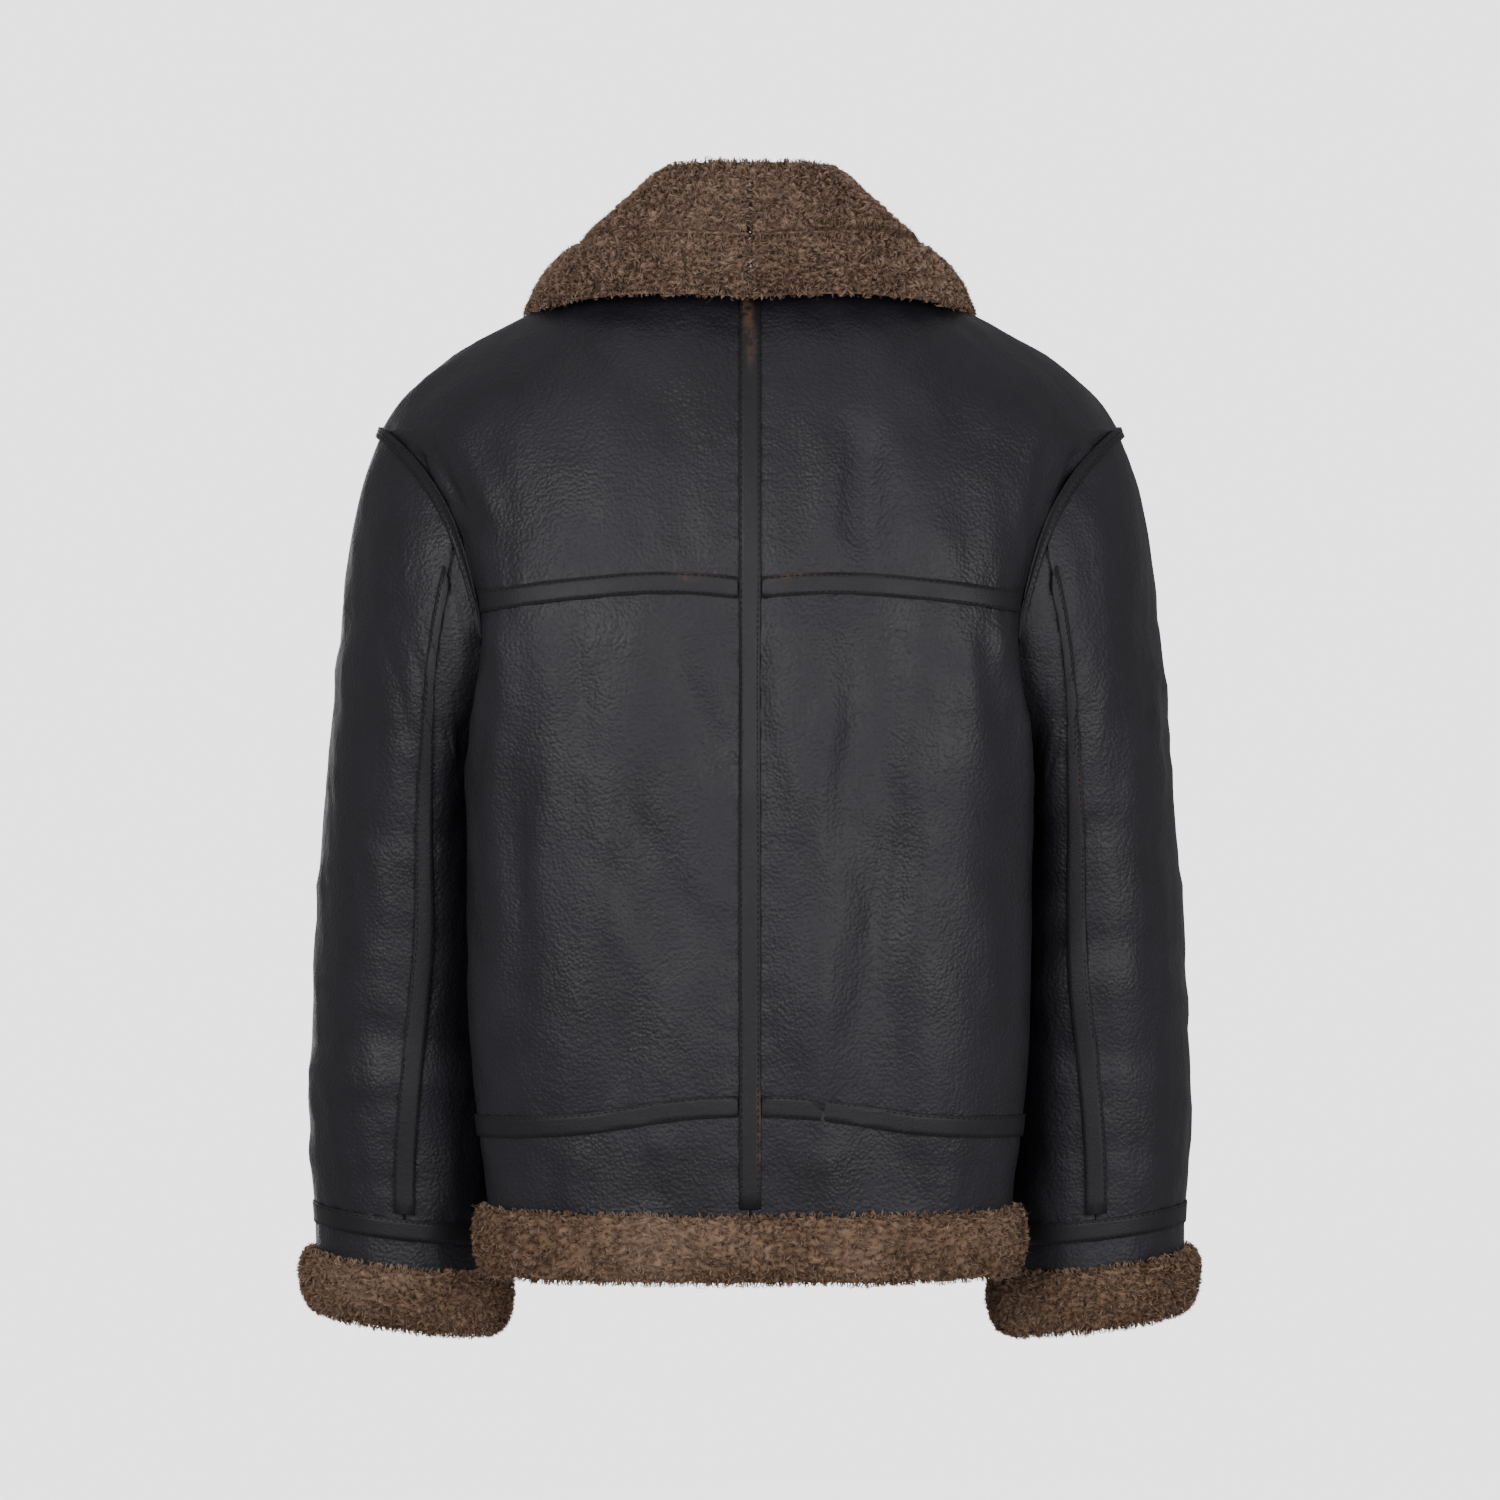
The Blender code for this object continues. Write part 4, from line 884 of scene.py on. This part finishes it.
@dataclass
class WoolPiece:
    """A wool piece: a skin raised in small curls on its solid's form, and a pile of blades on it."""

    node: str
    finish: bpy.types.Material
    pile_mm: float
    blades: int
    seed: int
    keep: Callable[[np.ndarray, np.ndarray], np.ndarray] | None = None
    parting: Callable[[np.ndarray], np.ndarray] | None = None
    levels: int = 3

    def build(self) -> bpy.types.Object:
        """Makes the skin and its pile.

        Returns:
            The skin's piece.
        """
        rng = np.random.default_rng(self.seed)
        skin = smooth_copy(self.node, f"{self.node}_wool", self.levels, sharp=60.0)
        points, normals = object_points(skin), object_normals(skin)
        places, facing = surface_samples(skin, CURL_SEEDS, rng)
        chosen = thinned(places, NUB_MM * MM)
        hearts, heart_facing = places[chosen], facing[chosen]
        sizes = rng.uniform(0.55, 1.1, len(chosen))
        tree = point_tree(hearts)
        found = [tree.find_n(Vector(p), 2) for p in points]
        near = np.array([pair[0][1] for pair in found])
        rim = np.array([pair[1][2] - pair[0][2] for pair in found])
        dome = ease(-0.3 * MM, 1.6 * MM, rim) * sizes[near]
        show = self.keep(points, normals) if self.keep else np.ones(len(points))
        broad = 0.8 * ripples(points, 0.022, self.seed) + 0.4 * ripples(points, 0.011, self.seed + 1)
        parted = self.parting(points) if self.parting else np.zeros(len(points))
        sunk = DOME_MM * dome - SKIN_SINK_MM + BUMPS_MM * broad - PARTING_SINK_MM * parted
        set_points(skin, points + normals * (sunk * MM * show)[:, None])
        # Painted shade: the skin takes the root colour between the curls and the body colour on their tops
        self.paint_shade_and_chance(skin, 0.05 + 0.55 * dome, 0.4 + 0.3 * sizes[near])
        skin.data.materials.append(self.finish)
        pile = self.pile(skin, hearts, heart_facing, tree, rng)
        return skin

    @staticmethod
    def paint_shade_and_chance(obj: bpy.types.Object, along: np.ndarray, chance: np.ndarray) -> None:
        """Stores how far up the pile each vertex is, which the wool paints from shade at the roots to the
        tips, and its chance value.
        """
        layer = obj.data.color_attributes.new("pile", "FLOAT_COLOR", "POINT")
        values = np.ones((len(along), 4))
        values[:, 0], values[:, 1] = along, chance
        layer.data.foreach_set("color", values.reshape(-1))

    def pile(self, skin: bpy.types.Object, hearts: np.ndarray, heart_facing: np.ndarray,
             tree: KDTree, rng: np.random.Generator) -> bpy.types.Object:
        """Blades of wool, drawn together and twisted into small curls.

        Args:
            skin: The piece they stand on.
            hearts: The middles of the curls.
            heart_facing: The directions off the skin there.
            tree: The middles as a search tree.
            rng: The source of chance.

        Returns:
            The pile's piece.
        """
        count = self.blades
        places, facing = surface_samples(skin, int(count * 1.7), rng)
        if self.keep:
            chosen = rng.random(len(places)) < self.keep(places, facing)
            places, facing = places[chosen], facing[chosen]
        places, facing = places[:count], facing[:count]
        count = len(places)
        curl = np.array([tree.find(Vector(p))[1] for p in places])
        curl_size = rng.uniform(0.7, 1.1, len(hearts))
        lean = rng.normal(size=(len(hearts), 3)) * 1.5 + np.array([0, 0, -0.5])
        lean -= heart_facing * (lean * heart_facing).sum(1, keepdims=True)
        spin = rng.choice((-1.0, 1.0), len(hearts))
        parted = self.parting(places) if self.parting else np.zeros(count)
        long = self.pile_mm * MM * curl_size[curl] * rng.uniform(0.8, 1.05, count) * (1 - 0.6 * parted)
        long = long[:, None]
        off_middle = places - hearts[curl]
        twist = np.cross(heart_facing[curl], off_middle) * spin[curl][:, None]
        wander = rng.normal(size=(count, 3))
        heart_tip = hearts[curl] + heart_facing[curl] * long * 0.45 + lean[curl] * MM
        straight = places + facing * long * 0.72 + wander * 1.1 * MM
        tips = straight + (heart_tip - straight) * rng.uniform(0.6, 0.97, (count, 1)) + twist * 0.25
        stray = rng.random((count, 1)) < 0.05
        tips = np.where(stray, places + facing * long * 1.15 + wander * 1.6 * MM, tips)
        bend = places + facing * long * 0.42 + twist * 0.55 + (tips - places) * 0.12
        across = unit(np.cross(tips - places, rng.normal(size=(count, 3))))
        width = rng.uniform(0.30, 0.60, (count, 1)) * MM * np.where(stray, 0.35, 1.0)
        roots = places - facing * 0.6 * MM
        points = np.stack([
            roots - across * width, roots + across * width,
            bend - across * width * 0.85, bend + across * width * 0.85, tips,
        ], 1).reshape(-1, 3)
        base = np.arange(count) * 5
        quads = np.stack([base, base + 1, base + 3, base + 2], 1)
        caps = np.stack([base + 2, base + 3, base + 4], 1)
        mesh = bpy.data.meshes.new(f"{self.node}_pile")
        mesh.vertices.add(len(points))
        mesh.vertices.foreach_set("co", points.reshape(-1))
        loops = np.concatenate([quads, caps], 1).reshape(-1)
        mesh.loops.add(len(loops))
        mesh.loops.foreach_set("vertex_index", loops.astype(np.int32))
        mesh.polygons.add(count * 2)
        starts = (np.arange(count)[:, None] * 7 + np.array([[0, 4]])).reshape(-1)
        mesh.polygons.foreach_set("loop_start", starts.astype(np.int32))
        mesh.update(calc_edges=True)
        mesh.validate()
        mesh.shade_smooth()
        obj = new_object(f"{self.node}_pile", mesh)
        # Painted shade: each blade runs from the root colour at its foot to the tip colour, and stays darker
        # in the parting line
        up = (np.array([0.0, 0.0, 0.5, 0.5, 1.0]) * (1 - 0.5 * parted)[:, None]).reshape(-1)
        chance = np.repeat(0.2 * rng.random(count) + 0.8 * rng.random(len(hearts))[curl], 5)
        self.paint_shade_and_chance(obj, up, chance)
        mesh.materials.append(self.finish)
        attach(obj, "jacket")
        return obj


def collar_parting(points: np.ndarray) -> np.ndarray:
    """1 on the line where the collar's wool parts, at its seam and its centre back, and 0 off it."""
    rims = np.concatenate([object_points(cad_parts[f"collar_edge_{side.word}"]) for side in Side])
    turns = np.arctan2(rims[:, 0], rims[:, 1])
    steps = np.linspace(-2.4, 2.4, 25)
    tops = [rims[np.abs(turns - step) < 0.14, 2].max(initial=-1.0) for step in steps]
    level = np.interp(np.arctan2(points[:, 0], points[:, 1]), steps, tops)
    seam = np.exp(-(((points[:, 2] - level) / (PARTING_MM * MM)) ** 2))
    back = np.exp(-((points[:, 0] / (0.6 * PARTING_MM * MM)) ** 2)) * (points[:, 1] > 0)
    return np.maximum(seam, 0.6 * back)


def above_underside(points: np.ndarray, normals: np.ndarray) -> np.ndarray:
    """1 on the collar's wool face and its edges, 0 on the leather side under the fall."""
    chest = np.array([0, -0.01, -0.10])
    out = unit(points - chest)
    return ease(-0.35, -0.05, (normals * out).sum(1))


def inside_neck(points: np.ndarray, normals: np.ndarray) -> np.ndarray:
    """1 on the stand's wool face, that looks in at the neck, and over its crest."""
    level = unit(points * np.array([1, 1, 0]) + np.array([0, 0.01, 0]))
    return 1 - ease(0.3, 0.5, (normals * level).sum(1))


# Metal and tape


@dataclass
class Zip:
    """Tapes, teeth, slider and pull of the front zip."""

    materials: Materials
    pitch_mm: float = 3.4

    def build(self) -> None:
        """Makes the zip's pieces."""
        for side in Side:
            tape = smooth_copy(f"zip_tape_{side.word}", f"zip_tape_{side.word}_woven", 1)
            tape.data.materials.append(self.materials.tape)
            self.teeth(side)
        for node in ("zip_slider", "zip_pull"):
            piece = smooth_copy(node, f"{node}_brass", 0, 30.0)
            piece.data.set_sharp_from_angle(angle=radians(35))
            piece.data.materials.append(self.materials.brass)
            bevel = piece.modifiers.new("worn_edges", "BEVEL")
            bevel.width = 0.25 * MM
            bevel.segments = 2

    def teeth(self, side: Side) -> None:
        """Cast teeth along one tape, each a small block that reaches to the middle."""
        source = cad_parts[f"zip_teeth_{side.word}"]
        points = object_points(source)
        low, high = points[:, 2].min(), points[:, 2].max()
        count = int((high - low) / (self.pitch_mm * MM))
        line = self.front_line(points)
        build = bmesh.new()
        for k in range(count):
            z = low + (k + (0.5 if side is Side.LEFT else 1.0)) * self.pitch_mm * MM
            y = np.interp(z, *line)
            made = bmesh.ops.create_cube(build, size=1.0)["verts"]
            bmesh.ops.scale(build, vec=[size * MM for size in TOOTH_MM], verts=made)
            bmesh.ops.translate(build, vec=(side.value * TOOTH_OUT_MM * MM, y, z), verts=made)
        bmesh.ops.bevel(build, geom=build.edges[:], offset=0.25 * MM, segments=1, affect="EDGES")
        obj = mesh_object(f"zip_teeth_{side.word}_cast", build)
        obj.data.materials.append(self.materials.brass)
        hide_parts(f"zip_teeth_{side.word}")
        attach(obj, "jacket")

    @staticmethod
    def front_line(points: np.ndarray) -> tuple:
        """Heights and depths down the middle of a row of teeth, from low to high."""
        order = np.argsort(points[:, 2])
        rows = points[order]
        groups = np.array_split(rows, max(2, len(rows) // 8))
        return np.array([g[:, 2].mean() for g in groups]), np.array([g[:, 1].mean() for g in groups])


@dataclass
class Adjuster:
    """A strap and buckle near the hem."""

    side: Side
    materials: Materials

    def build(self) -> None:
        """Makes the strap and the buckle frame."""
        node = f"adjuster_strap_{self.side.word}"
        strap = smooth_copy(node, f"{node}_leather", 2)
        strap.data.materials.append(self.materials.strip)
        node = f"adjuster_buckle_{self.side.word}"
        buckle = smooth_copy(node, f"{node}_brass", 1, 70)
        buckle.data.materials.append(self.materials.brass)


# The jacket and its stage


@dataclass
class Jacket:
    """The whole garment."""

    materials: Materials
    blades_collar: int = 22000
    blades_trim: int = 19000

    def build(self) -> None:
        """Makes all the pieces."""
        seams = strip_tree()
        for side in Side:
            word = side.word
            for node, region in (
                (f"back_upper_{word}", Region.BACK), (f"back_middle_{word}", Region.BACK),
                (f"back_lower_{word}", Region.BACK), (f"front_{word}", Region.FRONT),
                (f"sleeve_top_{word}", Region.SLEEVE), (f"sleeve_under_{word}", Region.SLEEVE),
                (f"cuff_panel_{word}", Region.PLAIN),
            ):
                Panel(node, region, side, seams, self.materials).build()
            self.collar_half(word, 40 + side.value)
            WoolPiece(f"cuff_roll_{word}", self.materials.trim, PILE_MM["cuff"], self.blades_trim,
                      60 + side.value).build()
            WoolPiece(f"hem_band_front_{word}", self.materials.trim, PILE_MM["hem"],
                      self.blades_trim // 2, 70 + side.value).build()
            Adjuster(side, self.materials).build()
        WoolPiece("hem_band_back", self.materials.trim, PILE_MM["hem"], self.blades_trim, 80).build()
        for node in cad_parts:
            if node.startswith("strip_"):
                Strip(node, self.materials).build()
        Zip(self.materials).build()
        LOG.info("jacket built")

    def collar_half(self, word: str, seed: int) -> None:
        """Makes the stand, fall and edge strip of one half of the collar."""
        for part, blades, keep, levels in (
            ("stand", self.blades_collar // 3, inside_neck, 2),
            ("fall", self.blades_collar, above_underside, 3),
            ("edge", self.blades_collar, above_underside, 3),
        ):
            WoolPiece(f"collar_{part}_{word}", self.materials.collar, PILE_MM["collar"], blades,
                      seed + len(part) * 7, keep, collar_parting, levels).build()


@dataclass
class Studio:
    """Pale floor, soft light and the photo's camera."""

    floor_z: float = -1.35
    distance: float = 3.5
    middle_z: float = -0.322
    width_at_object: float = 1.05
    glow: float = 3.6
    world_strength: float = 0.38
    floor_half: float = 30.0
    backdrop_radius: float = 9.0

    def build(self) -> None:
        """Makes the surroundings, the lights and the camera."""
        self.surroundings()
        world = bpy.data.worlds.new("pale_room")
        world.use_nodes = True
        back = world.node_tree.nodes["Background"]
        back.inputs["Color"].default_value = srgb("F2F0F1")
        back.inputs["Strength"].default_value = self.world_strength
        bpy.context.scene.world = world
        for name, place, size, power in LAMPS:
            self.lamp(name, place, size, power)
        self.camera()

    def surroundings(self) -> None:
        """Makes the floor and the backdrop, whose paint glows for the camera and lights nothing."""
        kit = NodeKit("Pale_floor_paint")
        kit.fix({
            "Base Color": srgb("3C3C3C"), "Roughness": 0.95, "Specular IOR Level": 0.0,
            "Emission Color": srgb("E2E0E1"), "Emission Strength": self.glow,
        })
        build = bmesh.new()
        bmesh.ops.create_grid(build, x_segments=1, y_segments=1, size=self.floor_half)
        floor = mesh_object("floor", build)
        floor.location.z = self.floor_z
        build = bmesh.new()
        bmesh.ops.create_uvsphere(build, u_segments=48, v_segments=24, radius=self.backdrop_radius)
        dome = mesh_object("backdrop", build)
        for surround in (floor, dome):
            surround.data.materials.append(kit.material)
            surround.visible_diffuse = False
            surround.visible_glossy = False
            surround.visible_shadow = False

    def camera(self) -> None:
        """Makes the camera, straight behind the jacket as in the photo."""
        camera = bpy.data.cameras.new("photo_camera")
        camera.lens = SENSOR_MM * self.distance / self.width_at_object
        eye = bpy.data.objects.new("photo_camera", camera)
        eye.location = (0, self.distance, self.middle_z)
        eye.rotation_euler = (radians(90), 0, radians(180))
        bpy.context.scene.collection.objects.link(eye)
        bpy.context.scene.camera = eye

    def lamp(self, name: str, place: tuple, size: float, power: float) -> None:
        """A square soft light aimed at the jacket."""
        light = bpy.data.lights.new(name, "AREA")
        light.size = size
        light.energy = power
        obj = bpy.data.objects.new(name, light)
        obj.location = place
        aim = Vector((0, 0, self.middle_z)) - Vector(place)
        obj.rotation_euler = aim.to_track_quat("-Z", "Y").to_euler()
        bpy.context.scene.collection.objects.link(obj)


def main() -> None:
    """Builds the jacket and the studio."""
    Jacket(Materials()).build()
    Studio().build()


if __name__ == "__main__":
    main()
